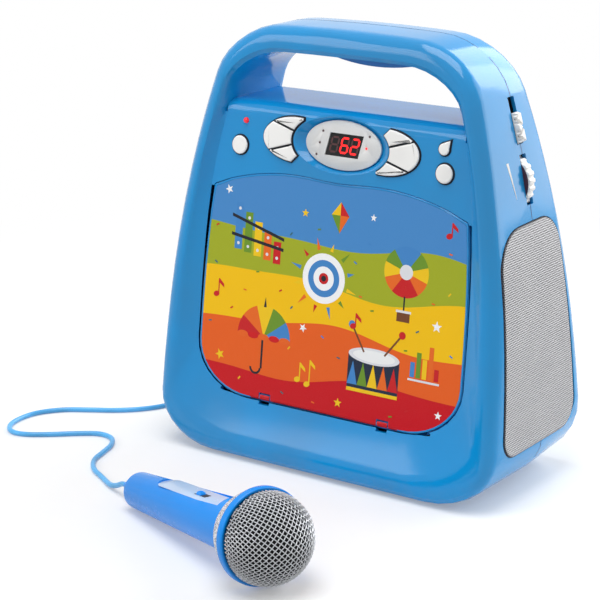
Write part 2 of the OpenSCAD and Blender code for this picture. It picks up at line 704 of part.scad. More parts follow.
module keyhole(g) {
  translate([0, disc_s]) circle(table_r + 1.5 + g);
  translate([-slot_hw - g, disc_s - slot_far - g]) square([2 * (slot_hw + g), slot_far]);
}
module disc_tray() {
  color([0.36, 0.62, 0.86]) on_fascia() difference() {
    union() {
      // Flange behind the fascia and the tub behind it, with a groove for the lid's barrel
      difference() {
        union() {
          slab(-flange_n - 2, -flange_n) intersection() {
            lid_outline(2.3);
            translate([-body_hw, lid_bottom - 1.2]) square([2 * body_hw, 200]);
          }
          slab(-tray_floor - tray_t, -flange_n - 1) lid_outline(-0.4);
        }
        translate([-hinge_hw - 1, axis_s, axis_n]) rotate([0, 90, 0])
          cylinder(r = barrel_r + 0.75, h = 2 * hinge_hw + 2, $fn = 32);
      }
      // Ears that hold the hinge pins
      both_sides() {
        translate([ear_x - ear_w / 2, axis_s, axis_n]) rotate([0, 90, 0])
          cylinder(r = barrel_r, h = ear_w, $fn = 32);
        translate([ear_x - ear_w / 2, axis_s - barrel_r, -flange_n - 3])
          cube([ear_w, 2 * barrel_r, flange_n + 3 - barrel_r]);
      }
    }
    slab(-tray_floor, 1) difference() {
      lid_outline(-2.4);
      both_sides() translate([ear_x - ear_w / 2 - 1, lid_bottom - 3]) square([ear_w + 2, 3 + 2 * barrel_r]);
    }
    slab(-tray_floor - tray_t - 1, -tray_floor + 1) keyhole(0);
    // Slot for the lid's catch
    translate([-7, lid_top - 3.2, -lid_t - 9.2]) cube([14, 3.2, 12]);
    both_sides() translate([ear_x - ear_w, axis_s, axis_n]) rotate([0, 90, 0])
      cylinder(r = pin_r, h = 2 * ear_w, $fn = 32);
  }
  // Rim round the disc and posts for the drive's frame
  color([0.36, 0.62, 0.86]) on_fascia() {
    slab(-tray_floor - eps, -tray_floor + 2) difference() {
      translate([0, disc_s]) circle(disc_r + 4, $fn = 96);
      translate([0, disc_s]) circle(disc_r + 2, $fn = 96);
    }
  }
}

// ================= disc drive =================
frame_n = tray_floor + tray_t + seat;     // depth of the drive frame's face
frame_t = 1.6;
rod_n = frame_n + frame_t + 3.2;
rod_low = disc_s - slot_far - 6;
rod_high = disc_s - table_r + 6;
rack_x = -rod_x - 7;
pinion_r = rack_m * pinion_teeth / 2;
gear_x = rack_x - pinion_r;
gear_s = disc_s - sled_home - 5;
gear_n = rod_n + 1.4;
wheel_n = gear_n + 1.6;
motor_gap = wheel_m * (wheel_teeth + motor_teeth) / 2;
motor_x = gear_x - motor_gap * cos(55);
motor_s = gear_s + motor_gap * sin(55);
motor_r = 8;
motor_n = wheel_n + 3;
module mech_frame() {
  color([0.20, 0.21, 0.23]) on_fascia() difference() {
    union() {
      slab(-frame_n - frame_t, -frame_n)
        polygon(rounded([[-58, disc_s - 76, 4], [30, disc_s - 76, 4], [30, disc_s + 22, 6], [-58, disc_s + 22, 6]]));
      // Blocks that hold the rods' ends
      for (x = [-rod_x, rod_x], s = [rod_low, rod_high - 5])
        translate([x - 3.5, s, -rod_n - 3.2]) cube([7, 5, rod_n + 3.2 - frame_n - frame_t + eps]);
      // Stud of the feed wheel
      translate([gear_x, gear_s, -motor_n + 0.6]) cylinder(r = 1.5, h = motor_n - 0.6 - frame_n - frame_t + eps, $fn = 32);
      // Cradle of the feed motor
      translate([motor_x - motor_r - 3, motor_s - 6, -motor_n - 12])
        cube([2.7, 12, motor_n + 12 - frame_n - frame_t + eps]);
    }
    slab(-frame_n - frame_t - 1, -frame_n + 1) keyhole(0.6);
    for (x = [-rod_x, rod_x]) translate([x, rod_low - 1, -rod_n]) rotate([-90, 0, 0])
      cylinder(r = rod_r, h = rod_high - rod_low + 2, $fn = 32);
  }
}
module guide_rods() {
  color([0.80, 0.81, 0.83]) on_fascia() for (x = [-rod_x, rod_x])
    translate([x, rod_low, -rod_n]) rotate([-90, 0, 0]) cylinder(r = rod_r, h = rod_high - rod_low, $fn = 32);
}
module spindle_motor() {
  color([0.70, 0.71, 0.73]) on_fascia() translate([0, disc_s, 0]) difference() {
    union() {
      translate([0, 0, -frame_n - frame_t - 9]) cylinder(r = spindle_r, h = 8.7);
      // Mounting plate across the keyhole
      translate([0, 0, -frame_n - frame_t - 1.5]) linear_extrude(1.2) difference() {
        polygon(rounded([[-22, -6, 3], [22, -6, 3], [22, 20, 3], [-22, 20, 3]]));
        for (x = [-18, 18]) translate([x, 16]) circle(1.2, $fn = 24);
      }
    }
    translate([0, 0, -frame_n - frame_t - 8]) cylinder(r = 1 + run_fit, h = 20, $fn = 32);
  }
}
module turntable_hub() {
  color([0.16, 0.16, 0.18]) on_fascia() translate([0, disc_s, 0]) {
    translate([0, 0, -frame_n - frame_t - 7.8]) cylinder(r = 1, h = 12, $fn = 32);
    rotate_extrude() polygon([[0, -disc_n - 1.5], [table_r, -disc_n - 1.5], [table_r, -disc_n],
      [table_r - 1, -disc_n], [table_r - 1.4, -disc_n - 0.3], [8.4, -disc_n - 0.3], [7.4, -disc_n],
      [7.4, -disc_n + 2], [6.4, -disc_n + 3], [2, -disc_n + 3.4], [0, -disc_n + 3.4]]);
    translate([0, 0, -frame_n - frame_t + 0.4]) cylinder(r = 4, h = frame_n + frame_t - disc_n - 1.5);
    // Three spring balls that hold the disc
    for (a = [90, 210, 330]) rotate(a) translate([6.6, 0, -disc_n + 1.5]) sphere(r = 1.2, $fn = 24);
  }
}
sled_s = disc_s - sled_home;
module rack_teeth(low, high) {
  // Straight-flanked rack with its pitch line at rack_x
  p = PI * rack_m;
  t = p / 2 - backlash;
  d = tan(20) * rack_m;
  first = ceil((low - gear_s) / p);
  last = floor((high - gear_s) / p) - 1;
  polygon(concat(
    [[rack_x + 3.2, high], [rack_x + 3.2, low], [rack_x + 1.25 * rack_m, low]],
    [for (i = [first : last]) let (s = gear_s + p * (i + 0.5))
      each [[rack_x + 1.25 * rack_m, s - t / 2 - 1.25 * d], [rack_x - rack_m, s - t / 2 + d],
        [rack_x - rack_m, s + t / 2 - d], [rack_x + 1.25 * rack_m, s + t / 2 + 1.25 * d]]],
    [[rack_x + 1.25 * rack_m, high]]));
}
module pickup_sled() {
  color([0.17, 0.18, 0.20]) on_fascia() difference() {
    union() {
      translate([-12, sled_s - 9, -rod_n - 3]) cube([24, 20, 8.5]);
      // Lens turret, bearing lug, fork lug and rack
      translate([0, sled_s, -rod_n]) cylinder(r = 6, h = rod_n - disc_n - 4.2, $fn = 32);
      translate([-rod_x - 3, sled_s - 9, -rod_n - 2.3]) cube([8, 18, 5]);
      translate([10, sled_s - 4, -rod_n - 2.3]) cube([rod_x - 6.5, 10, 5]);
      slab(-gear_n, -gear_n + 2.8) rack_teeth(sled_s - 9, sled_s + sled_travel + 3);
      translate([-rod_x - 4.5, sled_s - 9, -gear_n]) cube([3, 18, 2.8]);
    }
    translate([-rod_x, sled_s - 12, -rod_n]) rotate([-90, 0, 0])
      cylinder(r = rod_r + run_fit, h = 30, $fn = 32);
    translate([rod_x - rod_r - 0.2, sled_s - 12, -rod_n - rod_r - 0.2]) cube([10, 30, 2 * rod_r + 0.4]);
  }
}
module pickup_lens() {
  color([0.55, 0.62, 0.85]) on_fascia() translate([0, sled_s, -disc_n - 4.2]) {
    cylinder(r = 3.2, h = 1, $fn = 48);
    intersection() {
      translate([0, 0, -2.4]) sphere(r = 4.6, $fn = 48);
      cylinder(r = 3.2, h = 3, $fn = 48);
    }
  }
}
// Involute gear: teeth n of module m, thinned by the backlash
function involute(rb, a) = rb * [cos(a) + a * PI / 180 * sin(a), sin(a) - a * PI / 180 * cos(a)];
function turn(p, a) = [p[0] * cos(a) - p[1] * sin(a), p[0] * sin(a) + p[1] * cos(a)];
function tooth(n, m) =
  let (rp = m * n / 2, rb = rp * cos(20), ra = rp + m, rr = rp - 1.25 * m,
    amax = sqrt(pow(ra / rb, 2) - 1) * 180 / PI,
    inv = tan(20) * 180 / PI - 20,
    half = 90 / n - backlash / 2 / rp * 180 / PI + inv,
    flank = [for (i = [0 : 4]) turn(involute(rb, amax * i / 4), -half)])
  concat([turn([min(rr, rb - 0.02), 0], -half)], flank,
    [for (i = [4 : -1 : 0]) [flank[i][0], -flank[i][1]]], [turn([min(rr, rb - 0.02), 0], half)]);
module gear(n, m, phase) {
  polygon([for (i = [0 : n - 1]) each [for (p = tooth(n, m)) turn(p, phase + 360 * i / n)]]);
}
module feed_gear() {
  // Rack pinion and wheel in one piece; a tooth of the pinion points at the rack's gap
  color([0.93, 0.92, 0.88]) on_fascia() translate([gear_x, gear_s, 0]) difference() {
    union() {
      slab(-gear_n - 0.6, -gear_n + 2.8) gear(pinion_teeth, rack_m, 0);
      slab(-wheel_n - 2.2, -wheel_n) gear(wheel_teeth, wheel_m, 125);
      slab(-wheel_n - 0.1, -gear_n - 0.5) circle(4);
    }
    translate([0, 0, -60]) cylinder(r = 1.5 + run_fit, h = 60, $fn = 32);
  }
}
module feed_motor() {
  color([0.66, 0.67, 0.70]) on_fascia() translate([motor_x, motor_s, 0]) difference() {
    translate([0, 0, -motor_n - 14]) cylinder(r = motor_r, h = 13.6);
    translate([0, 0, -motor_n - 10]) cylinder(r = 1 + run_fit, h = 12, $fn = 32);
  }
}
module motor_pinion() {
  color([0.85, 0.70, 0.35]) on_fascia() translate([motor_x, motor_s, 0]) {
    slab(-wheel_n - 2.6, -wheel_n + 0.2) gear(motor_teeth, wheel_m, 305 + 180 / motor_teeth);
    translate([0, 0, -motor_n - 9.8]) cylinder(r = 1, h = 10.8, $fn = 32);
  }
}

// ================= controls on the fascia =================
module control_board() {
  color([0.10, 0.38, 0.20]) on_fascia() slab(-board_n - board_t, -board_n) difference() {
    polygon(rounded([[-88, 208.5, 3], [88, 208.5, 3], [84, 242, 3], [-84, 242, 3]]));
    for (x = [-69, 69], s = [212.5, 237.5]) translate([x, s]) circle(1.1, $fn = 24);
  }
}
module key_switches() {
  spots = concat([for (k = key_spots) [k[0], display_s + k[1]]],
    [for (k = key_spots) [-k[0], display_s - k[1]]],
    [[-button_x, button_s], [button_x, button_s], [button_x - 1.6, button_s + 15.6]]);
  color([0.22, 0.22, 0.24]) on_fascia() for (k = spots) translate([k[0], k[1], -board_n]) {
    translate([-3, -3, 0]) cube([6, 6, 3.5]);
    cylinder(r = 1.7, h = 4.1, $fn = 24);
  }
}
module window_shape(g) {
  // Slanted display window
  polygon([[-14.3 - g, -7.7 - g], [12 + g, -7.7 - g], [15.6 + g, 7.7 + g], [-10.7 - g, 7.7 + g]]);
}
lamp_spots = [[-16.6, 8], [-18.7, 0], [-20.8, -8], [20.2, 8], [18.2, 0]];
module display_bezel() {
  color([0.86, 0.86, 0.85]) on_fascia() translate([0, display_s, 0]) difference() {
    slab(-dish_d + seat, -dish_d + 1.7) ellipse(display_rx, display_rz);
    slab(-dish_d, 0) window_shape(0);
    for (p = lamp_spots) translate([p[0], p[1], -dish_d]) cylinder(r = 0.8, h = 4, $fn = 24);
  }
}
module display_module() {
  color([0.05, 0.05, 0.06]) on_fascia() translate([0, display_s, 0]) {
    slab(-board_n, -dish_d) polygon([[-17, -9.5], [17.6, -9.5], [17.6, 9.5], [-17, 9.5]]);
    slab(-dish_d - eps, -dish_d + 1.2) window_shape(-seat);
    for (p = [for (q = lamp_spots) if (abs(q[0]) > 18) q]) translate([p[0], p[1], -board_n])
      cylinder(r = 1.3, h = board_n - dish_d - 0.1, $fn = 24);
  }
}
module power_led() {
  color([0.85, 0.10, 0.18]) on_fascia() translate([-77.5, 234.5, 0]) {
    translate([0, 0, -board_n]) cylinder(r = led_r, h = board_n + 0.2, $fn = 32);
    translate([0, 0, -fascia_t - 1.3]) cylinder(r = led_r + 0.6, h = 1, $fn = 32);
    intersection() {
      sphere(r = led_r, $fn = 32);
      cylinder(r = led_r, h = led_r, $fn = 32);
    }
  }
}
white = [0.96, 0.96, 0.95];
module crescent_key(which) {
  color(white) on_fascia() {
    key() {
      key_shape(which, 0, key_gap / 2);
      key_back(which, true);
    }
    stem(key_spots[which][0], display_s + key_spots[which][1]);
  }
}
module button_left_round() {
  color(white) on_fascia() {
    translate([-button_x, button_s]) round_button();
    stem(-button_x, button_s);
  }
}
module round_button() {
  key() {
    circle(button_r);
    circle(button_r + 1.2);
  }
}
module button_right_round() {
  color(white) on_fascia() {
    translate([button_x, button_s]) round_button();
    stem(button_x, button_s);
  }
}
module button_teardrop() {
  color(white) on_fascia() {
    key() {
      teardrop_shape(0);
      intersection() {
        teardrop_shape(1.2);
        translate([0, button_s + button_r + 1.7]) square([120, 60]);
      }
    }
    stem(button_x - 1.6, button_s + 15.6);
  }
}
module on_right(which) {
  // The right crescent is the left one, half a turn round
  color(white) on_fascia() turned() {
    key() {
      key_shape(which, 0, key_gap / 2);
      key_back(which, false);
    }
    stem(key_spots[which][0], display_s + key_spots[which][1]);
  }
}
module key_left_upper() { crescent_key(0); }
module key_left_middle() { crescent_key(1); }
module key_left_lower() { crescent_key(2); }
module key_right_lower() { on_right(0); }
module key_right_middle() { on_right(1); }
module key_right_upper() { on_right(2); }

// ================= controls on the side =================
// The wheel's axis lies straight behind the middle of its slot
volume_deep = volume_r - volume_proud;
volume_x = side_x(volume_z) - volume_deep * cos(side_slope(volume_z));
volume_axis_z = volume_z - volume_deep * sin(side_slope(volume_z));
board_y = part_y + slot_w / 2 + 5;
module side_board() {
  // Upright board behind the wheel and the slide switch; its edge lies on the side wall
  zs = [for (i = [0 : 8]) mix(volume_z - 18, switch_z + 12, i / 8)];
  color([0.10, 0.38, 0.20]) along_y(board_y, board_y + board_t) mirror([0, 1]) polygon(concat(
    [for (z = zs) [side_x(z) - wall - 0.4, z]],
    [[side_x(zs[8]) - 8.4, zs[8]], [side_x(zs[8]) - 8.4, handle_floor - 20],
     [volume_x - 12, handle_floor - 20], [volume_x - 12, zs[0]]]));
}
module slide_switch() {
  color([0.35, 0.36, 0.38]) on_side(switch_z) translate([-15, -3, -wall - 8]) difference() {
    cube([24.6, board_y - part_y + 3, 7]);
    translate([4, -1, 3]) cube([19, 8, 5]);
  }
}
switch_rest = (switch_slot - switch_knob) / 2 - 0.4;
module function_knob() {
  // Ribbed thumb knob, at rest at the lower end of its slot
  color(white) on_side(switch_z) translate([switch_rest, 0, 0]) {
    translate([-switch_knob / 2, -slot_w / 2 + 0.4, -wall - 0.4]) cube([switch_knob, slot_w - 0.8, wall + 2]);
    for (i = [0 : 3]) translate([(i - 1.5) * switch_knob / 4, 0, 1.4]) rotate([90, 0, 0])
      cylinder(r = switch_knob / 8, h = slot_w - 0.8, center = true, $fn = 32);
    translate([-3, -2.2, -wall - 4.4]) cube([6, 4.4, 4.1]);
  }
}
module volume_pot() {
  color([0.30, 0.31, 0.33]) translate([volume_x, 0, volume_axis_z]) {
    along_y(part_y + slot_w / 2 + 0.2, board_y) circle(8);
    along_y(part_y - slot_w / 2 + 0.6, part_y + slot_w / 2 + 0.3) circle(3);
  }
}
module volume_wheel() {
  // Scalloped thumb wheel with a dished face
  scallops = 24;
  color(white) translate([volume_x, 0, volume_axis_z]) difference() {
    along_y(part_y - slot_w / 2 + 0.5, part_y + slot_w / 2 - 0.5) circle(volume_r, $fn = 96);
    for (i = [0 : scallops - 1]) rotate([0, 360 * i / scallops, 0])
      translate([volume_r + 0.9, 0, 0]) along_y(part_y - slot_w, part_y + slot_w) circle(1.9, $fn = 20);
    along_y(part_y - slot_w, part_y + slot_w) circle(3 + run_fit, $fn = 32);
    along_y(part_y - slot_w, part_y - slot_w / 2 + 1.3) circle(volume_r - 3.4);
  }
}

// ================= speakers =================
grille_flange = 5;
module baffle() {
  color([0.32, 0.60, 0.86]) difference() {
    union() {
      intersection() {
        side_skin(-wall - 0.4 - 2.5, -wall - 0.4, grille_flange);
        // The flange stays clear of the rounded lip, the rounded rear edge and the base corners
        along_x(3 * body_hw) polygon([
          [front_y(grille_low) + lip_r + 0.4, grille_low + grille_flange],
          [rear_y(grille_low) - rear_r - 1.5, grille_low + grille_flange + 1],
          [rear_y(body_h) - rear_r - 1.5, body_h], [front_y(body_h) + lip_r + 0.4, body_h]]);
      }
      side_skin(-wall - 0.5, -grille_t - seat, -0.1);
    }
    translate([0, 0, speaker_z]) rotate([0, 90, 0]) cylinder(r = speaker_r - 5, h = 2 * body_hw);
  }
}
module grille() {
  color([0.72, 0.73, 0.74]) side_skin(-grille_t, 0, 0);
}
speaker_x = side_x(speaker_z + speaker_r) - wall - 2.9 - seat;
module speaker() {
  // Round steel basket, paper cone, dust cap and magnet, facing outwards
  color([0.15, 0.15, 0.16]) translate([speaker_x, 0, speaker_z]) rotate([0, -90, 0]) {
    rotate_extrude() polygon([[speaker_r - 6, 0], [speaker_r, 0], [speaker_r, 1.5], [speaker_r - 3, 1.5],
      [24, 17], [20, 17], [20, 26], [6, 26], [6, 14], [9, 13], [13, 12], [20, 8.5],
      [27, 4], [30, 1.4], [31.5, 0.6]]);
    rotate_extrude() intersection() {
      translate([0, 26]) circle(13.2);
      translate([0, 12]) square([11, 4]);
    }
  }
}
module baffle_right() { baffle(); }
module baffle_left() { mirror([1, 0, 0]) baffle(); }
module grille_right() { grille(); }
module grille_left() { mirror([1, 0, 0]) grille(); }
module speaker_right() { speaker(); }
module speaker_left() { mirror([1, 0, 0]) speaker(); }

// ================= battery bay =================
module battery_box() {
  color([0.36, 0.64, 0.88]) on_back() difference() {
    slab(wall + seat, wall + bay_d + 2) translate([-bay_hw - 2, bay_low - 2]) square([2 * bay_hw + 4, bay_h + 4]);
    slab(-1, wall + bay_d) translate([-bay_hw, bay_low]) square([2 * bay_hw, bay_h]);
  }
  // Low wall between the two rows of cells
  color([0.36, 0.64, 0.88]) on_back() slab(wall + bay_d - 6, wall + bay_d + eps)
    translate([-bay_hw, bay_low + bay_h / 2 - 1]) square([2 * bay_hw, 2]);
}
module battery_contacts() {
  // Two coil springs at one end and two plates at the other
  color([0.80, 0.79, 0.74]) on_back() for (r = [0, 1]) {
    s = bay_low + bay_h * (0.25 + 0.5 * r);
    d = r == 0 ? 1 : -1;
    translate([d * (bay_hw - 0.3), s, wall + bay_d - 14]) rotate([0, -90 * d, 0]) {
      translate([-9, -9, 0]) cube([18, 18, 0.6]);
      for (i = [0 : 3]) translate([0, 0, 1.1 + i * 1.5]) rotate_extrude($fn = 32)
        translate([6 - i, 0]) circle(0.75, $fn = 16);
    }
    translate([-d * (bay_hw - 0.3), s, wall + bay_d - 14]) rotate([0, 90 * d, 0]) {
      translate([-9, -9, 0]) cube([18, 18, 0.6]);
      cylinder(r = 4, h = 1.4);
    }
  }
}
door_gap = 0.4;
module battery_door() {
  color([0.38, 0.66, 0.89]) on_back() {
    slab(0, 1.4) translate([-bay_hw - door_lap + door_gap, bay_low - door_lap + door_gap + 0.7])
      square([2 * (bay_hw + door_lap - door_gap), bay_h + 2 * (door_lap - door_gap) - 0.7]);
    // Rounded lower edge that the door turns about
    translate([-bay_hw - door_lap + door_gap, bay_low - door_lap + door_gap + 0.7, 0.7]) rotate([0, 90, 0])
      cylinder(r = 0.7, h = 2 * (bay_hw + door_lap - door_gap), $fn = 32);
    // Stiffening ribs, top latch
    slab(1.4 - eps, 3.4) for (x = [-50, 0, 50]) translate([x - 0.8, bay_low + 4]) square([1.6, bay_h - 8]);
    translate([-9, bay_low + bay_h - 3, 1.4 - eps]) cube([18, 1.6, 5]);
    // Finger grooves stand proud as fine ribs
    for (i = [0 : 4]) translate([-14, bay_low + bay_h - 2 - 3 * i, -0.6]) cube([28, 1.2, 0.6 + eps]);
  }
}

// ================= sockets =================
module socket_opening(g) {
  translate([-jack_x - 11 - g, mic_jack_s - 12 - g]) square([22 + 2 * g, power_jack_s - mic_jack_s + 22 + 2 * g]);
}
jacks = [[mic_jack_s, mic_bore_r], [mic2_jack_s, mic_bore_r], [aux_jack_s, aux_bore_r], [power_jack_s, 3]];
module socket_plate() {
  color([0.10, 0.10, 0.11]) on_back() difference() {
    union() {
      slab(0.4, wall + seat + eps) socket_opening(-0.3);
      slab(wall + seat, wall + seat + 1.5) socket_opening(2);
    }
    for (j = jacks) translate([-jack_x, j[0], -1]) cylinder(r = j[1] + 2.3, h = 8, $fn = 48);
  }
}
module sockets() {
  color([0.70, 0.70, 0.72]) on_back() for (j = jacks) translate([-jack_x, j[0], 0]) difference() {
    union() {
      translate([0, 0, 0.2]) cylinder(r = j[1] + 2.2, h = 6, $fn = 48);
      translate([-7.5, -7.5, wall + seat + 1.8]) cube([15, 15, jack_l - 4.5]);
    }
    translate([0, 0, -1]) cylinder(r = j[1], h = jack_l - 1, $fn = 48);
  }
  color([0.85, 0.85, 0.86]) on_back() translate([-jack_x, power_jack_s, 2]) cylinder(r = 0.9, h = jack_l - 2.5, $fn = 24);
}
module main_board() {
  color([0.10, 0.38, 0.20]) on_back() {
    slab(10, 10 + board_t) difference() {
      translate([-68, 126]) square([136, 76]);
      for (x = [-62, 62], s = [132, 196]) translate([x, s]) circle(1.1, $fn = 24);
    }
    // Amplifier heat sink, capacitors and chips
    for (i = [0 : 5]) translate([-40 + 5 * i, 140, 10 + board_t - eps]) cube([1.4, 30, 14]);
    translate([-41, 140, 10 + board_t - eps]) cube([28, 30, 2]);
    for (x = [8, 24, 40]) translate([x, 186, 10 + board_t - eps]) cylinder(r = 5, h = 12, $fn = 32);
    translate([4, 146, 10 + board_t - eps]) cube([20, 20, 1.6]);
    translate([34, 150, 10 + board_t - eps]) cube([16, 10, 2]);
  }
}

// ================= microphone =================
ring_a = mic_l - 8;
tail_a = 4;
mic_pitch = atan((ring_r - tail_r) / (ring_a - tail_a));
mic_tail = [-66, -170];
mic_tail_z = tail_r * cos(mic_pitch) - tail_a * sin(mic_pitch);
// The microphone's axis: x from the tail to the ball, z upwards
module on_mic() {
  translate([mic_tail[0], mic_tail[1], mic_tail_z]) rotate([0, -mic_pitch, mic_yaw]) children();
}
module turned_on_axis() {
  rotate([0, 90, 0]) rotate_extrude() children();
}
flat_z = tail_r + 0.2;       // height of the flat on the handle
flat_from = 36;
flat_to = 116;
switch_a = 84;
module mic_body() {
  neck_a = mic_l - 31;
  color([0.22, 0.60, 0.95]) on_mic() difference() {
    turned_on_axis() polygon(concat(
      [[0, 0], [tail_r - 4, 0]],
      [for (i = [1 : 5]) let (a = 18 * i) [tail_r - 4 + 4 * sin(a), 4 - 4 * cos(a)]],
      [[neck_r, neck_a], [neck_r + 0.4, neck_a + 6], [neck_r + 2, neck_a + 11], [ring_r - 7, mic_l - 15.6],
       [ring_r - 7, mic_l - 15.3], [0, mic_l - 15.3]]));
    // Flat with a rounded tail end, and the slot of the switch
    translate([0, 0, flat_z]) linear_extrude(20) union() {
      translate([flat_from + 9, 0]) circle(9);
      translate([flat_from + 9, -9]) square([flat_to - flat_from - 9, 18]);
    }
    translate([switch_a - 6.5, -2.6, flat_z - 5]) cube([13, 5.2, 10]);
  }
}
module mic_head() {
  // Knurled collar and the ring that the ball screws into
  color([0.80, 0.82, 0.86]) on_mic() turned_on_axis() polygon([[capsule_r + 2, mic_l - 15], [ring_r - 4, mic_l - 15],
    [ring_r - 2, mic_l - 13], [ring_r - 1.8, mic_l - 9], [capsule_r + 2, mic_l - 9]]);
  color([0.20, 0.56, 0.93]) on_mic() turned_on_axis() polygon([[ring_r - 5, mic_l - 9.01], [ring_r - 0.8, mic_l - 9.01],
    [ring_r, mic_l - 8], [ring_r, mic_l - 4], [ring_r - 0.7, mic_l - 3], [ring_r - 5, mic_l - 3]]);
}
module mic_ball() {
  // Woven basket with a spigot that screws into the ring, hollow inside
  color([0.55, 0.56, 0.58]) on_mic() translate([mic_l, 0, 0]) rotate([0, 90, 0]) difference() {
    union() {
      difference() {
        sphere(r = ball_r, $fn = 72);
        translate([0, 0, -2 * ball_r - 2.7]) cylinder(r = 2 * ball_r, h = 2 * ball_r);
      }
      translate([0, 0, -8.7]) cylinder(r = ring_r - 5.3, h = 7);
    }
    sphere(r = ball_r - 1.6, $fn = 72);
    translate([0, 0, -10]) cylinder(r = ring_r - 7, h = 10);
  }
}
capsule_r = 11;
module mic_capsule() {
  color([0.10, 0.10, 0.11]) on_mic() translate([mic_l - 15.3, 0, 0]) rotate([0, 90, 0]) {
    cylinder(r = capsule_r, h = 13);
    cylinder(r = capsule_r - 2, h = 14);
  }
}
module mic_switch() {
  color([0.16, 0.50, 0.90]) on_mic() translate([switch_a - mic_switch_travel / 2, 0, flat_z]) {
    translate([-2.6, -2.3, -4.6]) cube([5.2, 4.6, 5.8]);
    translate([-2.6, 0, 1.2]) rotate([0, 90, 0]) cylinder(r = 1.6, h = 5.2, $fn = 24);
  }
}
sleeve_l = 15;
module mic_cord_sleeve() {
  color([0.22, 0.60, 0.95]) on_mic() rotate([0, -90, 0]) rotate_extrude($fn = 32)
    polygon([[0, 0], [4, 0], [4, 2], [3.4, 3], [cord_d / 2 + 0.5, sleeve_l], [0, sleeve_l]]);
}
plug_out = 40;
module mic_plug() {
  color([0.24, 0.60, 0.95]) on_back() translate([-jack_x, mic_jack_s, 0]) rotate([180, 0, 0]) {
    cylinder(r = 5.6, h = 24, $fn = 48);
    rotate_extrude($fn = 48) polygon([[0, 23.9], [5.6, 23.9], [4, 27], [cord_d / 2 + 0.6, plug_out], [0, plug_out]]);
    translate([0, 0, -jack_l + 4]) cylinder(r = mic_bore_r - 0.04, h = jack_l - 4 + eps, $fn = 48);
  }
}
// Route of the cord: from the microphone over the floor to the coil, and from the coil to the plug
cord_z = cord_d / 2;
coil_at = [-125, 152];
coil_r = 21;
coil_w = 11;
coil_h = 8;
cord_route = [
  [-79.8, -164.7, 9.8], [-85.4, -162.6, 8.8], [-93, -159.5, 5], [-102, -155.5, 2.4], [-116, -147, cord_z], [-131, -138, cord_z],
  [-142, -125, cord_z], [-147, -110, cord_z], [-152, -95, cord_z], [-161, -84, cord_z],
  [-174, -82, cord_z], [-188, -91, cord_z], [-202, -103, cord_z], [-217, -113, cord_z],
  [-229, -114, cord_z], [-239, -105, cord_z], [-243, -90, cord_z], [-241, -73, cord_z],
  [-230, -57, cord_z], [-214, -46, cord_z], [-198, -36, cord_z], [-184, -23, cord_z],
  [-174, -6, cord_z], [-170, 16, cord_z], [-170, 40, cord_z], [-171, 65, cord_z],
  [-171, 90, cord_z], [-168, 115, cord_z], [-159, 139, cord_z], [-149.6, 152, cord_z + 0.4]];
plug_route = [
  [-100.4, 152, 5.8], [-100.8, 143, 4.4], [-102, 134.5, 3], [-103.2, 128, 5.4],
  [-103.6, 124.5, 13], [-104, 122.5, 25], [-104, 121, 38], [-104, 117, 48.5], [-104, 110.5, 55.3],
  [-104, 104.5, 57.4], [-104, 99.8, 56.8]];
// Point of a smooth curve through the route, at t from 0 to the number of stretches
function route_point(p, t) =
  let (n = len(p), i = min(floor(t), n - 2), f = t - i,
    a = p[max(i - 1, 0)], b = p[i], c = p[i + 1], d = p[min(i + 2, n - 1)])
  0.5 * ((2 * b) + (c - a) * f + (2 * a - 5 * b + 4 * c - d) * f * f + (3 * b - a - 3 * c + d) * f * f * f);
module swept_cord(p, rings) {
  sides = 8;
  n = len(p) - 1;
  pts = [for (i = [0 : rings]) route_point(p, n * i / rings)];
  ring = function (i)
    let (d = pts[min(i + 1, rings)] - pts[max(i - 1, 0)], t = d / norm(d),
      u0 = cross(t, abs(t[2]) > 0.8 ? [1, 0, 0] : [0, 0, 1]), u = u0 / norm(u0), v = cross(t, u))
    [for (k = [0 : sides - 1]) let (a = 360 * (k + 0.5) / sides)
      pts[i] + cord_d / 2 * (cos(a) * u + sin(a) * v)];
  polyhedron(
    points = [for (i = [0 : rings]) each ring(i)],
    faces = concat(
      [for (i = [0 : rings - 1], k = [0 : sides - 1])
        let (a = i * sides + k, b = i * sides + (k + 1) % sides)
        each [[a, b, b + sides], [a, b + sides, a + sides]]],
      [[for (k = [sides - 1 : -1 : 0]) k]],
      [[for (k = [0 : sides - 1]) rings * sides + k]]));
}
module mic_cord() {
  color([0.20, 0.56, 0.92]) {
    swept_cord(cord_route, 66);
    swept_cord(plug_route, 12);
  }
}
module mic_cord_coil() {
  color([0.20, 0.56, 0.92]) translate([coil_at[0], coil_at[1], 0]) rotate_extrude()
    translate([coil_r - coil_w / 2, 0]) square([coil_w, coil_h]);
}

front_shell();
rear_shell();
disc_lid();
lid_picture();
lid_hinge_pins();
disc_tray();
mech_frame();
guide_rods();
spindle_motor();
turntable_hub();
pickup_sled();
pickup_lens();
feed_gear();
feed_motor();
motor_pinion();
control_board();
key_switches();
display_bezel();
display_module();
power_led();
button_left_round();
key_left_upper();
key_left_middle();
key_left_lower();
key_right_upper();
key_right_middle();
key_right_lower();
button_teardrop();
button_right_round();
side_board();
slide_switch();
function_knob();
volume_pot();
volume_wheel();
baffle_right();
baffle_left();
grille_right();
grille_left();
speaker_right();
speaker_left();
battery_box();
battery_contacts();
battery_door();
socket_plate();
sockets();
main_board();
housing_screws();
feet();
mic_body();
mic_head();
mic_ball();
mic_capsule();
mic_switch();
mic_cord_sleeve();
mic_cord();
mic_cord_coil();
mic_plug();
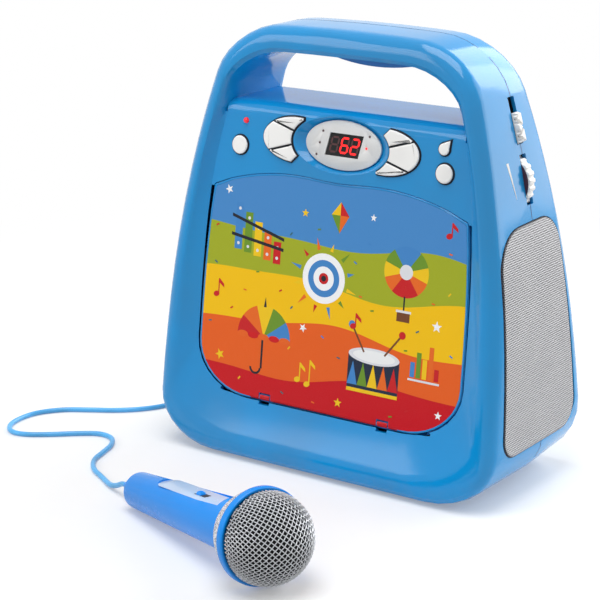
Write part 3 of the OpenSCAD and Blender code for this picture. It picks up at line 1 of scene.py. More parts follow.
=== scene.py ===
import json
import math
import bmesh
import bpy
import numpy as np
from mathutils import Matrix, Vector

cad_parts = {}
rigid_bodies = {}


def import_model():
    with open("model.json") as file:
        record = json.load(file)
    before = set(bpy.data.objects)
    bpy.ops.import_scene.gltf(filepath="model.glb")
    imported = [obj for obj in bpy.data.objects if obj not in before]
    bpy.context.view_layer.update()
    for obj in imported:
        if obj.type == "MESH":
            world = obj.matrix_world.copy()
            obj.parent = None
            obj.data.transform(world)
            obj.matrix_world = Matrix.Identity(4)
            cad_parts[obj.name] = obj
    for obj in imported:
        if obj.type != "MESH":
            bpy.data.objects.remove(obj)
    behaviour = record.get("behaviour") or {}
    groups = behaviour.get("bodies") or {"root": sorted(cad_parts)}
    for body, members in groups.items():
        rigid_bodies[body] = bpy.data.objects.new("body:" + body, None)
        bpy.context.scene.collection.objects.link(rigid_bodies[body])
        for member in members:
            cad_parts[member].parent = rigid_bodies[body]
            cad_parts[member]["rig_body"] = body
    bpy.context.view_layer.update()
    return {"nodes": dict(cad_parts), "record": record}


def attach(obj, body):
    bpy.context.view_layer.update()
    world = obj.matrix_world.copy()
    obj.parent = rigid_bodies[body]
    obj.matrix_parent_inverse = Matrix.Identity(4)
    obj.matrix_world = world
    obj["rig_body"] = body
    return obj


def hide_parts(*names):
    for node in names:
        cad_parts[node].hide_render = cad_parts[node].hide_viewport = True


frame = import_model()
nodes = frame["nodes"]
mm = 0.001


# work planes, from millimetres on a plane to metres in the frame
fascia = {"lean": math.radians(6.6), "foot": 59}


def onFascia(p):
    # x across, s up the leaning fascia, n out of it
    p = np.asarray(p, float)
    lean = fascia["lean"]
    x, s, n = p[..., 0], p[..., 1], p[..., 2]
    return np.stack([x, -fascia["foot"] + s * math.sin(lean) - n * math.cos(lean),
                     s * math.cos(lean) + n * math.sin(lean)], -1) * mm


def sideX(z):
    # half width of the cabinet at a height, drawing in by a power law
    return 136 - 44 * (np.clip((np.asarray(z, float) - 1.5) / 297.5, 0, 1)) ** 2.55


def onSide(p):
    # z up, y to the back, n out of the curved right side
    p = np.asarray(p, float)
    z, y, n = p[..., 0], p[..., 1], p[..., 2]
    slope = np.arctan((sideX(z - 1) - sideX(z + 1)) / 2)
    return np.stack([sideX(z) + n * np.cos(slope), y, z + n * np.sin(slope)], -1) * mm


mic = {"tail": (-66, -170), "tailR": 12.2, "ringR": 30.2, "length": 155.4, "yaw": -21}
micPitch = math.atan((mic["ringR"] - mic["tailR"]) / (mic["length"] - 8 - 4))
micTailZ = mic["tailR"] * math.cos(micPitch) - 4 * math.sin(micPitch)


def onMic(p):
    # a along the microphone from its tail, b to its side, c upwards
    p = np.asarray(p, float)
    a, b, c = p[..., 0], p[..., 1], p[..., 2]
    u = a * math.cos(micPitch) - c * math.sin(micPitch)
    w = a * math.sin(micPitch) + c * math.cos(micPitch)
    yaw = math.radians(mic["yaw"])
    return np.stack([mic["tail"][0] + u * math.cos(yaw) - b * math.sin(yaw),
                     mic["tail"][1] + u * math.sin(yaw) + b * math.cos(yaw),
                     micTailZ + w], -1) * mm


# mesh making
def sheetFaces(rows, cols, wrapRows=False, wrapCols=False):
    # quads between neighbouring rows and columns of a grid of points
    r = np.arange(rows if wrapRows else rows - 1)[:, None]
    c = np.arange(cols if wrapCols else cols - 1)[None, :]
    a, b = r * cols + c, r * cols + (c + 1) % cols
    d, e = ((r + 1) % rows) * cols + c, ((r + 1) % rows) * cols + (c + 1) % cols
    return np.stack([a, b, e, d], -1).reshape(-1, 4)


def added(name, data):
    # a new object in the scene
    thing = bpy.data.objects.new(name, data)
    bpy.context.scene.collection.objects.link(thing)
    return thing


def aimed(thing, at, to, scale=1.0):
    # a camera or lamp at one point that looks at another
    thing.location = Vector(at) * scale
    thing.rotation_euler = (Vector(to) - Vector(at)).to_track_quat("-Z", "Y").to_euler()


def makePiece(name, points, faces, body, material, angle=None, uv=None):
    mesh = bpy.data.meshes.new(name)
    flat = np.asarray(points, float).reshape(-1, 3)
    mesh.from_pydata(flat.tolist(), [], [list(map(int, f)) for f in faces])
    mesh.validate()
    piece = added(name, mesh)
    finishMesh(mesh, angle)
    mesh.materials.append(material)
    if uv is not None:
        layer = mesh.uv_layers.new(name="way")
        loops = np.zeros(len(mesh.loops), np.int32)
        mesh.loops.foreach_get("vertex_index", loops)
        layer.data.foreach_set("uv", np.asarray(uv, float).reshape(-1, 2)[loops].ravel())
    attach(piece, body)
    return piece


def smoothed(bm, angle):
    # smooth faces, and sharp edges past an angle in degrees
    for f in bm.faces:
        f.smooth = True
    for e in bm.edges if angle else ():
        if len(e.link_faces) == 2 and e.calc_face_angle(0) > math.radians(angle):
            e.smooth = False


def finishMesh(mesh, angle):
    # outward normals and smooth faces
    bm = bmesh.new()
    bm.from_mesh(mesh)
    bmesh.ops.recalc_face_normals(bm, faces=bm.faces)
    smoothed(bm, angle)
    bm.to_mesh(mesh)
    bm.free()


def revolved(name, profile, place, body, material, around=96, ripple=None, angle=40):
    # a profile of (along, radius) carried round an axis; ripple moves the radius by angle and place
    prof = np.asarray(profile, float)
    t = np.linspace(0, 2 * np.pi, around, endpoint=False)
    along = np.repeat(prof[:, 0][:, None], around, 1)
    radius = np.repeat(prof[:, 1][:, None], around, 1)
    if ripple is not None:
        radius = radius + ripple(along, t[None, :], radius)
    points = place(np.stack([along, radius * np.cos(t), radius * np.sin(t)], -1))
    return makePiece(name, points, sheetFaces(len(prof), around, wrapCols=True), body, material, angle)


def smoothLine(points, steps):
    # a smooth curve through the points, each stretch a cubic from its two neighbours
    p = np.asarray(points, float)
    t = np.linspace(0, len(p) - 1, steps)
    i = np.minimum(t.astype(int), len(p) - 2)
    f = (t - i)[:, None]
    a, b, c, d = p[np.maximum(i - 1, 0)], p[i], p[i + 1], p[np.minimum(i + 2, len(p) - 1)]
    return 0.5 * (2 * b + (c - a) * f + (2 * a - 5 * b + 4 * c - d) * f ** 2
                  + (3 * b - a - 3 * c + d) * f ** 3)


def tubePoints(path, radius, sides):
    # a round section carried along a path, kept from twisting by turning with each step
    path = np.asarray(path, float)
    ahead = np.gradient(path, axis=0)
    ahead /= np.linalg.norm(ahead, axis=1)[:, None]
    u = np.cross(ahead[0], (0.0, 0.0, 1.0) if abs(ahead[0][2]) < 0.9 else (1.0, 0.0, 0.0))
    us = []
    for d in ahead:
        u = u - d * np.dot(u, d)
        u = u / np.linalg.norm(u)
        us.append(u)
    us = np.array(us)
    vs = np.cross(ahead, us)
    t = np.linspace(0, 2 * np.pi, sides, endpoint=False)
    return path[:, None, :] + radius * (np.cos(t)[None, :, None] * us[:, None, :]
                                        + np.sin(t)[None, :, None] * vs[:, None, :])


def dressed(node, material, width=0.4, segments=3, angle=35, name=None):
    # the node's own shape: doubles merged, flat faces joined, then its edges rounded by a bevel of
    # that width, or left sharp where the width is 0
    source = nodes[node]
    mesh = source.data.copy()
    piece = added(name or node + "Dressed", mesh)
    bm = bmesh.new()
    bm.from_mesh(mesh)
    bmesh.ops.remove_doubles(bm, verts=bm.verts, dist=2e-6)
    bmesh.ops.dissolve_limit(bm, angle_limit=math.radians(0.6), verts=bm.verts, edges=bm.edges)
    if not width:
        bmesh.ops.triangulate(bm, faces=[f for f in bm.faces if len(f.verts) > 4])
    smoothed(bm, None if width else angle)
    bm.to_mesh(mesh)
    bm.free()
    mesh.materials.clear()
    mesh.materials.append(material)
    if width:
        bevel = piece.modifiers.new("edges", "BEVEL")
        bevel.width = width * mm
        bevel.segments = segments
        bevel.limit_method = "ANGLE"
        bevel.angle_limit = math.radians(angle)
        bevel.harden_normals = True
        bevel.use_clamp_overlap = True
    else:
        # large flat faces keep their own direction beside narrow ones
        flat = piece.modifiers.new("flat", "WEIGHTED_NORMAL")
        flat.keep_sharp = True
        flat.weight = 90
    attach(piece, source["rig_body"])
    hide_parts(node)
    return piece


slotOf = {row["node"]: row["material_slot"] for row in frame["record"]["subparts"]}


def mergedNode(node):
    # a node's loose triangles as one joined mesh, to read its edges from
    bm = bmesh.new()
    bm.from_mesh(nodes[node].data)
    bmesh.ops.remove_doubles(bm, verts=bm.verts, dist=2e-6)
    return bm


def faceLoop(node, level):
    # the outline, as points (x, s) on the fascia, of a node's face that lies level millimetres out of it
    bm = mergedNode(node)
    lean = fascia["lean"]

    def flat(v):
        y, z = v.co.y / mm + fascia["foot"], v.co.z / mm
        return v.co.x / mm, y * math.sin(lean) + z * math.cos(lean), z * math.sin(lean) - y * math.cos(lean)
    top = {f for f in bm.faces if all(abs(flat(v)[2] - level) < 0.02 for v in f.verts)}
    after = {}
    for f in top:
        for loop in f.loops:
            if not any(g in top and g is not f for g in loop.edge.link_faces):
                after[loop.vert.index] = loop.link_loop_next.vert.index
    bm.verts.ensure_lookup_table()
    start = max(after, key=lambda i: flat(bm.verts[i])[0])
    order, here = [start], after[start]
    while here != start:
        order.append(here)
        here = after[here]
    points = np.array([flat(bm.verts[i])[:2] for i in order])
    bm.free()
    far = np.linalg.norm(points - np.roll(points, 1, 0), axis=1) > 0.02
    points = points[far]
    x, y = points[:, 0], points[:, 1]
    area = np.sum(x * np.roll(y, -1) - np.roll(x, -1) * y)
    return points if area > 0 else points[::-1]


def raised(loop, n):
    # a flat outline at one height out of its plane
    return np.concatenate([loop, np.full((len(loop), 1), float(n))], 1)


def offsetLoop(loop, out):
    # a closed outline moved outwards: each corner goes along the mean of its two sides' normals
    side = np.roll(loop, -1, 0) - loop
    side /= np.linalg.norm(side, axis=1)[:, None]
    normal = np.stack([side[:, 1], -side[:, 0]], -1)
    before = np.roll(normal, 1, 0)
    spread = np.maximum(1 + np.sum(normal * before, axis=1), 0.5)
    return loop + out * (normal + before) / spread[:, None]


def stacked(name, loop, rows, place, body, material, angle=40):
    # a closed form from one outline: each row is that outline moved out by its first value at the
    # height of its second, and both ends are flat
    count = len(loop)
    levels = [raised(offsetLoop(loop, out), n) for out, n in rows]
    faces = sheetFaces(len(rows), count, wrapCols=True).tolist()
    faces += [list(range(count))[::-1], [(len(rows) - 1) * count + i for i in range(count)]]
    return makePiece(name, place(np.array(levels)), faces, body, material, angle)


def roundedLoop(corners, count):
    # corners (u, v, r) of a polygon, each rounded by an arc of its r, spaced evenly along the outline
    out, total = [], len(corners)
    for i, (u, v, r) in enumerate(corners):
        here = np.array([u, v], float)
        a = np.array(corners[i - 1][:2], float) - here
        b = np.array(corners[(i + 1) % total][:2], float) - here
        a, b = a / np.linalg.norm(a), b / np.linalg.norm(b)
        half = math.acos(float(np.dot(a, b))) / 2
        middle = here + (a + b) / np.linalg.norm(a + b) * r / math.sin(half)
        p0, p1 = here + a * r / math.tan(half) - middle, here + b * r / math.tan(half) - middle
        sweep = math.acos(float(np.dot(p0, p1)) / r ** 2)
        for t in np.linspace(0, 1, 13):
            out.append(middle + (math.sin((1 - t) * sweep) * p0 + math.sin(t * sweep) * p1) / math.sin(sweep))
    out = np.array(out + [out[0]])
    way = np.concatenate([[0], np.cumsum(np.linalg.norm(np.diff(out, axis=0), axis=1))])
    even = np.linspace(0, way[-1], count, endpoint=False)
    return np.stack([np.interp(even, way, out[:, k]) for k in (0, 1)], -1)


# shader maths
class Wire:
    # a socket that takes part in Python expressions; each operation adds its Math node
    def __init__(self, finish, socket):
        self.finish, self.socket = finish, socket

    def maths(self, operation, *others):
        return self.finish.node("ShaderNodeMath", {"operation": operation}, [self] + list(others))

    def __add__(self, o): return self.maths("ADD", o)
    def __sub__(self, o): return self.maths("SUBTRACT", o)
    def __mul__(self, o): return self.maths("MULTIPLY", o)
    def __truediv__(self, o): return self.maths("DIVIDE", o)
    def __mod__(self, o): return self.maths("FLOORED_MODULO", o)
    def __neg__(self): return self.maths("MULTIPLY", -1.0)
    def __abs__(self): return self.maths("ABSOLUTE")
    __radd__, __rmul__ = __add__, __mul__
    def __rsub__(self, o): return (-self) + o
    def floor(self): return self.maths("FLOOR")
    def fract(self): return self.maths("FRACT")
    def sin(self): return self.maths("SINE")
    def sqrt(self): return self.maths("SQRT")
    def ramp(self, low, high):
        # 0 below low, 1 above high, smooth between
        return self.finish.node("ShaderNodeMapRange", {"interpolation_type": "SMOOTHSTEP"},
                                {"Value": self, "From Min": low, "From Max": high})


def linear(colour):
    # a screen colour of 0 to 255 as the light it stands for
    c = np.array(colour[:3], float) / 255
    c = np.where(c <= 0.04045, c / 12.92, ((c + 0.055) / 1.055) ** 2.4)
    return (float(c[0]), float(c[1]), float(c[2]), 1.0)


def shaded(base, times, plus=0.0):
    # a light made darker or brighter, and paler by plus
    return tuple(min(1, c * times + plus) for c in base[:3]) + (1.0,)


class Finish:
    # one material with its Principled shader
    def __init__(self, name, **fixed):
        self.material = bpy.data.materials.new(name)
        self.material.use_nodes = True
        self.tree = self.material.node_tree
        self.shader = self.tree.nodes["Principled BSDF"]
        for key, value in fixed.items():
            self.shader.inputs[key.replace("_", " ")].default_value = value

    def put(self, socket, value):
        if isinstance(value, Wire):
            self.tree.links.new(value.socket, socket)
        else:
            socket.default_value = value

    def node(self, kind, settings=None, inputs=(), output=0):
        n = self.tree.nodes.new(kind)
        for key, value in (settings or {}).items():
            setattr(n, key, value)
        for key, value in (inputs.items() if isinstance(inputs, dict) else enumerate(inputs)):
            self.put(n.inputs[key], value)
        return Wire(self, n.outputs[output])

    def place(self, scale=1000.0):
        # the point in the object's frame, in millimetres, as three wires and one vector
        where = self.node("ShaderNodeTexCoord", output="Object")
        grown = self.node("ShaderNodeVectorMath", {"operation": "SCALE"}, {0: where, "Scale": scale})
        parts = self.node("ShaderNodeSeparateXYZ", inputs=[grown])
        n = parts.socket.node
        return grown, Wire(self, n.outputs[0]), Wire(self, n.outputs[1]), Wire(self, n.outputs[2])

    def noise(self, vector, size, detail=3.0, rough=0.5, twist=0.0):
        # cloudy values of about 0.3 to 0.7, each cloud size millimetres wide
        values = {"Vector": vector, "Scale": 1.0 / size, "Detail": detail, "Roughness": rough, "Distortion": twist}
        return self.node("ShaderNodeTexNoise", inputs=values)

    def mix(self, factor, a, b):
        n = self.tree.nodes.new("ShaderNodeMix")
        n.data_type = "RGBA"
        self.put(n.inputs[0], factor)
        self.put(n.inputs[6], a)
        self.put(n.inputs[7], b)
        return Wire(self, n.outputs[2])

    def colour(self, value):
        self.put(self.shader.inputs["Base Color"], value)

    def rough(self, value):
        self.put(self.shader.inputs["Roughness"], value)

    def metal(self, value):
        self.put(self.shader.inputs["Metallic"], value)

    def glow(self, value, strength):
        self.put(self.shader.inputs["Emission Color"], value)
        self.shader.inputs["Emission Strength"].default_value = strength

    def bump(self, height, distance, strength=1.0):
        # height of 0 to 1 stands distance millimetres tall
        lifted = self.node("ShaderNodeBump",
                           inputs={"Height": height, "Distance": distance * mm, "Strength": strength})
        self.put(self.shader.inputs["Normal"], lifted)


# finishes
def mouldedFinish(name, colour, rough=0.2, peel=0.012, wear=0.5, coat=0.0, gloss=0.4):
    # moulded plastic: the colour drifts by a few hundredths over hand widths, a faint orange peel
    # bends the gloss, fine hairline scuffs and dust near the base dull it
    f = Finish(name, IOR=1.49, Specular_IOR_Level=gloss, Coat_Weight=coat, Coat_Roughness=0.08)
    p, _, _, z = f.place()
    drift = f.noise(p, 70, 2)
    speck = f.noise(p, 1.4, 2, 0.6)
    stretched = f.node("ShaderNodeVectorMath", {"operation": "MULTIPLY"}, [p, (1.0, 1.0, 6.0)])
    hair = f.noise(stretched, 9, 4, 0.75, 1.5).ramp(0.57, 0.66)
    low = (1 - z.ramp(2, 26)) * f.noise(p, 6, 3).ramp(0.42, 0.62)
    base = linear(colour)
    clean = f.mix(drift.ramp(0.35, 0.65), shaded(base, 0.9, 0.012), shaded(base, 1.05))
    f.colour(f.mix(low * (0.5 * wear), clean, shaded(base, 0.82, 0.05)))
    f.rough(rough + (speck - 0.5) * 0.04 + hair * (0.05 * wear) + low * (0.22 * wear))
    f.bump(f.noise(p, 1.9, 1) + hair * 0.15, peel)
    return f.material


def grainFinish(name, colour, rough=0.5, grain=0.9, depth=0.03, metal=0.0):
    # matt moulding or casting: small pits in the surface and a slightly uneven colour
    f = Finish(name, Metallic=metal)
    p, *_ = f.place()
    pits = f.noise(p, grain, 3, 0.65)
    drift = f.noise(p, 22, 2)
    base = linear(colour)
    f.colour(f.mix(drift.ramp(0.3, 0.7), shaded(base, 0.88), shaded(base, 1.1, 0.004)))
    f.rough(rough + (pits - 0.5) * 0.25)
    f.bump(pits, depth)
    return f.material


def steelFinish(name, colour, rough=0.3, along=(1.0, 12.0, 12.0)):
    # drawn or turned metal: fine lines along one direction, patches of handling marks
    f = Finish(name, Metallic=1.0)
    p, *_ = f.place()
    lines = f.noise(f.node("ShaderNodeVectorMath", {"operation": "MULTIPLY"}, [p, along]), 3, 3, 0.7)
    marks = f.noise(p, 14, 3).ramp(0.5, 0.7)
    base = linear(colour)
    f.colour(f.mix(lines, shaded(base, 0.85), base))
    f.rough(rough + (lines - 0.5) * 0.2 + marks * 0.08)
    f.bump(lines, 0.01)
    return f.material


def boardFinish(name):
    # circuit board: green resist over copper tracks, which are thin lines between cells
    f = Finish(name)
    p, *_ = f.place()
    cells = f.node("ShaderNodeTexVoronoi", {"distance": "MANHATTAN", "feature": "F1"},
                   {"Vector": p, "Scale": 0.16}, "Distance")
    track = 1 - (abs(cells.fract() - 0.5)).ramp(0.05, 0.12)
    f.colour(f.mix(track, linear((24, 92, 50)), linear((62, 138, 78))))
    f.rough(0.38 - track * 0.1)
    f.bump(track, 0.03)
    return f.material


def lampFinish(name, colour, strength):
    # a clear coloured lens lit from behind, brighter towards its middle by a soft mottling
    f = Finish(name, Roughness=0.15, IOR=1.5)
    p, *_ = f.place()
    soft = f.noise(p, 1.2, 1)
    base = linear(colour)
    f.colour(f.mix(soft, shaded(base, 0.7), base))
    f.glow(base, strength)
    f.bump(soft, 0.02)
    return f.material


finishes = {
    "shell_front": mouldedFinish("shellFront", (12, 144, 210), 0.11, 0.008, 0.4),
    "shell_rear": mouldedFinish("shellRear", (16, 146, 212), 0.13, 0.010, 0.5),
    "lid": mouldedFinish("lidBlue", (20, 140, 208), 0.18),
    "tray": mouldedFinish("trayBlue", (26, 128, 194), 0.34, 0.02, 0.2),
    "dark_plastic": grainFinish("darkPlastic", (34, 35, 38), 0.45),
    "steel": steelFinish("steel", (196, 198, 202)),
    "board": boardFinish("board"),
    "key": mouldedFinish("keyWhite", (249, 248, 245), 0.22, 0.008, 0.2),
    "bezel": mouldedFinish("bezelGrey", (230, 230, 228), 0.28, 0.008, 0.2),
    "lamp": lampFinish("powerLamp", (225, 28, 42), 0.6),
    "gearing": grainFinish("gearIvory", (238, 235, 224), 0.42, 1.2, 0.01),
    "brass": steelFinish("brass", (214, 178, 96), 0.25),
    "grille": steelFinish("grilleSteel", (200, 200, 203), 0.4),
    "lens": mouldedFinish("lens", (128, 142, 208), 0.05, 0.001, 0.0, 1.0),
    "rubber": grainFinish("rubberBlack", (28, 28, 29), 0.75, 0.6),
    "mic_blue": mouldedFinish("micBlue", (8, 142, 238), 0.24, 0.014, 0.4, gloss=0.25),
    "mic_silver": mouldedFinish("micSilver", (205, 208, 214), 0.3, 0.02, 0.2),
    "mic_mesh": steelFinish("micWire", (196, 198, 202), 0.34, (5.0, 5.0, 5.0)),
    "cord": grainFinish("cordBlue", (84, 176, 236), 0.3, 0.8, 0.015),
    "picture": mouldedFinish("pictureBase", (240, 190, 40), 0.3),
}
# a darkened shell blue, painted as the shade in the gap between the two shells
seamPaintedShade = grainFinish("seamPaintedShade", (12, 52, 96), 0.6)
# near black, painted as the shade in the gaps round the keys and at the bottom of the knob's groove
wellPaintedShade = grainFinish("wellPaintedShade", (10, 16, 30), 0.7)
windowBlack = mouldedFinish("windowBlack", (9, 9, 10), 0.08, 0.002, 0.0, gloss=0.3)
for name, piece in nodes.items():
    piece.data.materials.clear()
    piece.data.materials.append(windowBlack if name == "display_module" else finishes[slotOf[name]])
print("frame and finishes ready", len(nodes))


# camera
camera = {"at": (727.05, -1121.04, 495.47), "to": (-54.295, -1.8, 102.469), "lens": 121.317, "sensor": 36.0}
eye = bpy.data.cameras.new("camera")
eye.lens, eye.sensor_width, eye.clip_start, eye.clip_end = camera["lens"], camera["sensor"], 0.05, 60
viewer = added("camera", eye)
aimed(viewer, camera["at"], camera["to"], mm)
bpy.context.scene.camera = viewer

# cord: from the microphone over the floor, into a coil behind the cabinet, up to the socket
cord = {
    "diameter": 3.6, "turns": 6.5, "coilAt": (-125, 152), "radii": (24.6, 21.0, 17.4), "layers": (2.2, 5.8),
    "route": [
        (-79.8, -164.7, 9.8), (-85.4, -162.6, 8.8), (-93, -159.5, 5), (-102, -155.5, 2.4), (-116, -147, 1.8),
        (-131, -138, 1.8), (-142, -125, 1.8), (-147, -110, 1.8), (-152, -95, 1.8), (-161, -84, 1.8),
        (-174, -82, 1.8), (-188, -91, 1.8), (-202, -103, 1.8), (-217, -113, 1.8), (-229, -114, 1.8),
        (-239, -105, 1.8), (-243, -90, 1.8), (-241, -73, 1.8), (-230, -57, 1.8), (-214, -46, 1.8),
        (-198, -36, 1.8), (-184, -23, 1.8), (-174, -6, 1.8), (-170, 16, 1.8), (-170, 40, 1.8),
        (-171, 65, 1.8), (-171, 90, 1.8), (-168, 115, 1.8), (-159, 139, 1.8), (-149.6, 152, 2.2)],
    "plugRoute": [
        (-100.4, 152, 5.8), (-100.8, 143, 4.4), (-102, 134.5, 3), (-103.2, 128, 5.4), (-103.6, 124.5, 13),
        (-104, 122.5, 25), (-104, 121, 38), (-104, 117, 48.5), (-104, 110.5, 55.3), (-104, 104.5, 57.4),
        (-104, 99.8, 56.8)],
}


def coilLine(c):
    # clockwise turns: in through the lower layer, over at the inside, out through the upper layer
    turn = np.linspace(0, c["turns"], int(c["turns"] * 36) + 1)
    angle = np.pi - 2 * np.pi * turn
    outer, step = c["radii"][0], c["radii"][0] - c["radii"][1]
    shift = np.clip((turn % 1 - 0.7) / 0.3, 0, 1)
    shift = np.floor(turn) + shift * shift * (3 - 2 * shift)
    inward = np.minimum(shift, 2)
    outward = np.clip(shift - 3, 0, 2)
    radius = outer - step * (inward - outward)
    rise = np.clip((turn - 2.6) / 0.4, 0, 1)
    height = c["layers"][0] + (c["layers"][1] - c["layers"][0]) * rise * rise * (3 - 2 * rise)
    x, y = c["coilAt"]
    return np.stack([x + radius * np.cos(angle), y + radius * np.sin(angle), height], -1)


line = np.concatenate([smoothLine(cord["route"], 330)[:-2], coilLine(cord)[1:-1],
                       smoothLine(cord["plugRoute"], 110)[2:]])
for _ in range(2):
    line[1:-1] = (line[:-2] + 2 * line[1:-1] + line[2:]) / 4
run = np.concatenate([[0], np.cumsum(np.linalg.norm(np.diff(line, axis=0), axis=1))])
sides = 14
ring = tubePoints(line * mm, cord["diameter"] / 2 * mm, sides)
tubeUv = np.stack([np.repeat(run[:, None] / 100, sides, 1),
                   np.repeat(np.linspace(0, 1, sides)[None], len(run), 0)], -1)
faces = sheetFaces(len(line), sides, wrapCols=True).tolist()
faces += [list(range(sides))[::-1], [len(line) * sides - sides + i for i in range(sides)]]
micCordTube = makePiece("micCordTube", ring, faces, "cabinet", finishes["cord"], 60, tubeUv)
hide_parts("mic_cord", "mic_cord_coil")


tie = {"z": (0.05, 8.0), "r": (15.2, 26.8), "corner": 2.2, "thick": 0.5, "at": 70, "spread": 9, "edge": 0.8}


def tieRing(t):
    # a flat band round the coil's bundle: a rounded rectangle carried a little way round the coil
    (low, high), (near, far), c = t["z"], t["r"], t["corner"]
    out = []
    for r, z, start in ((near + c, low + c, 180), (far - c, low + c, 270), (far - c, high - c, 0),
                        (near + c, high - c, 90)):
        for k in range(7):
            a = math.radians(start + 15 * k)
            out.append((r + c * math.cos(a), z + c * math.sin(a)))
    out = np.array(out)
    middle = np.array([(near + far) / 2, (low + high) / 2])
    thin = out + (middle - out) / np.linalg.norm(middle - out, axis=1)[:, None] * t["thick"]
    wide, inner = t["spread"], t["spread"] - t["edge"]
    rows = []
    for shape, turn in ((out, -inner), (out, inner), (thin, wide), (thin, -wide)):
        a = math.radians(t["at"]) + np.radians(turn)
        rows.append(np.stack([cord["coilAt"][0] + shape[:, 0] * math.cos(a),
                              cord["coilAt"][1] + shape[:, 0] * math.sin(a), shape[:, 1]], -1))
    return np.array(rows) * mm, sheetFaces(4, len(out), wrapRows=True, wrapCols=True)


tiePoints, tieFaces = tieRing(tie)
cordTie = makePiece("cordTie", tiePoints, tieFaces, "cabinet", finishes["dark_plastic"], 40)

# cabinet shells
dressed("front_shell", finishes["shell_front"], 0, angle=32, name="frontShell")
dressed("rear_shell", finishes["shell_rear"], 0, angle=32, name="rearShell")
dressed("disc_lid", finishes["lid"], 0.3, 2, name="discLid")
cap = {
    "proud": 1.8, "inset": 0.42,
    "edge": ((0.0, -1.3), (0.0, 0.95), (-0.06, 1.25), (-0.22, 1.52), (-0.5, 1.7), (-0.95, 1.79), (-1.5, 1.8)),
    "skirt": ((-0.6, -1.28), (0.24, -1.28), (0.24, -0.2), (0.0, -0.05), (0.0, 1.0), (-0.6, 1.1))}
for key in [n for n in nodes if n.startswith(("key_left", "key_right", "button_"))]:
    outline = faceLoop(key, cap["proud"])
    rows = [(out - cap["inset"], n) for out, n in cap["edge"]]
    body = nodes[key]["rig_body"]
    piece = stacked(key + "Cap", outline, rows, onFascia, body, finishes["key"], 60)
    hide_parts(key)
    # a dark skirt round the cap that fills the gap and stands half way up its side, painted near black as the
    # shade in the gap
    stacked(key + "Well", outline, cap["skirt"], onFascia, body, wellPaintedShade)
dressed("display_bezel", finishes["bezel"], 0.3, 2)
dressed("battery_door", finishes["shell_rear"], 0)
dressed("socket_plate", finishes["dark_plastic"], 0)
dressed("volume_wheel", finishes["key"], 0.35, 2)
dressed("feet", finishes["rubber"], 0.4, 2)
dressed("mic_body", finishes["mic_blue"], 0.35, 3, 30)
dressed("mic_plug", finishes["mic_blue"], 0.4, 2)
print("shells and controls")

# seam between the two shells: a dark strip that paints the shade in the gap where they meet
seam = {"y": 6.0, "width": 0.75, "lift": 0.03}


def seamRibbon(s):
    # every outer edge of the front shell on the parting plane becomes a thin strip, a hair above the skin, painted
    # dark as the shade in the parting gap
    bm = mergedNode("front_shell")
    strips = []
    for e in bm.edges:
        ends = np.array([v.co[:] for v in e.verts]) / mm
        if np.abs(ends[:, 1] - s["y"]).max() > 0.02 or len(e.link_faces) != 2:
            continue
        skin = min(e.link_faces, key=lambda f: abs(f.normal.y))
        middle = ends.mean(0)
        side = abs(abs(middle[0]) - float(sideX(middle[2]))) < 7
        if not (side or middle[2] > 290 or middle[2] < 8) or abs(skin.normal.y) > 0.6:
            continue
        out = np.array(skin.normal[:])
        if out[0] * middle[0] + out[2] * (middle[2] - 150) > 0:
            strips.append(ends + out * s["lift"])
    bm.free()
    strips = np.array(strips)
    along = np.array([0, s["width"] / 2, 0])
    a, b = strips[:, 0], strips[:, 1]
    points = np.stack([a - along, b - along, b + along, a + along], 1)
    return points.reshape(-1, 3) * mm, np.arange(len(strips) * 4).reshape(-1, 4)


points, faces = seamRibbon(seam)
makePiece("partingSeamShade", points, faces, "cabinet", seamPaintedShade)

# side grilles: sheet with its edge rolled down into the opening
grille = {"corners": ((-47, 35, 14), (51, 36, 18), (36, 184, 20), (-39, 182, 28)), "around": 200,
          "rings": 16, "inside": -9,
          "edge": ((-0.1, -0.6), (-0.12, 0.1), (-0.25, 0.5), (-0.55, 0.8), (-1.0, 0.95), (-1.8, 1.0))}


def grillePoints(g):
    # rows of the outline drawn in by the edge's profile, then shrinking to the middle at one height
    loop = roundedLoop(g["corners"], g["around"])
    rows = [raised(offsetLoop(loop, out), n) for out, n in g["edge"]]
    centre = rows[-1].mean(0)
    rolled = rows[-1]
    for t in np.linspace(0.94, 0.0, g["rings"]):
        rows.append(centre + (rolled - centre) * max(t, 0.002))
    rows = np.array(rows)
    depth = np.array([out for out, n in g["edge"]] + [g["inside"]] * g["rings"])
    points = onSide(np.stack([rows[..., 1], rows[..., 0], rows[..., 2]], -1))
    return points, np.repeat(depth[:, None], g["around"], 1)


def perforatedFinish(name):
    # punched sheet: staggered round holes painted near black as the shade inside them, with a pressed lip round
    # each; the rolled edge, which the piece's own map marks, is painted dark grey as the shade it falls into
    f = Finish(name, IOR=1.5)
    p, _, y, z = f.place()
    pitch = {"across": 1.7, "up": 1.47, "hole": 0.3}
    v = z / pitch["up"]
    u = y / pitch["across"] + (v.floor() % 2.0) * 0.5
    du = u.fract() - 0.5
    dv = (v.fract() - 0.5) * (pitch["up"] / pitch["across"])
    far = (du * du + dv * dv).sqrt()
    metal = far.ramp(pitch["hole"] - 0.04, pitch["hole"] + 0.06)
    haze = f.noise(p, 18, 3)
    own = f.node("ShaderNodeUVMap", {"uv_map": "way"})
    way = f.node("ShaderNodeSeparateXYZ", inputs=[own])
    rolled = (way * -1.0).ramp(0.3, 1.7)
    # painted shade: near black in the holes, dark grey on the rolled edge
    sheet = f.mix(haze, linear((192, 192, 196)), linear((212, 212, 214)))
    f.colour(f.mix(metal, linear((14, 14, 18)), f.mix(rolled, linear((52, 52, 60)), sheet)))
    f.metal(metal * 0.3)
    f.rough(0.42 + (1 - metal) * 0.4 + (haze - 0.5) * 0.15)
    f.bump(far.ramp(0.2, 0.46), 0.3)
    return f.material


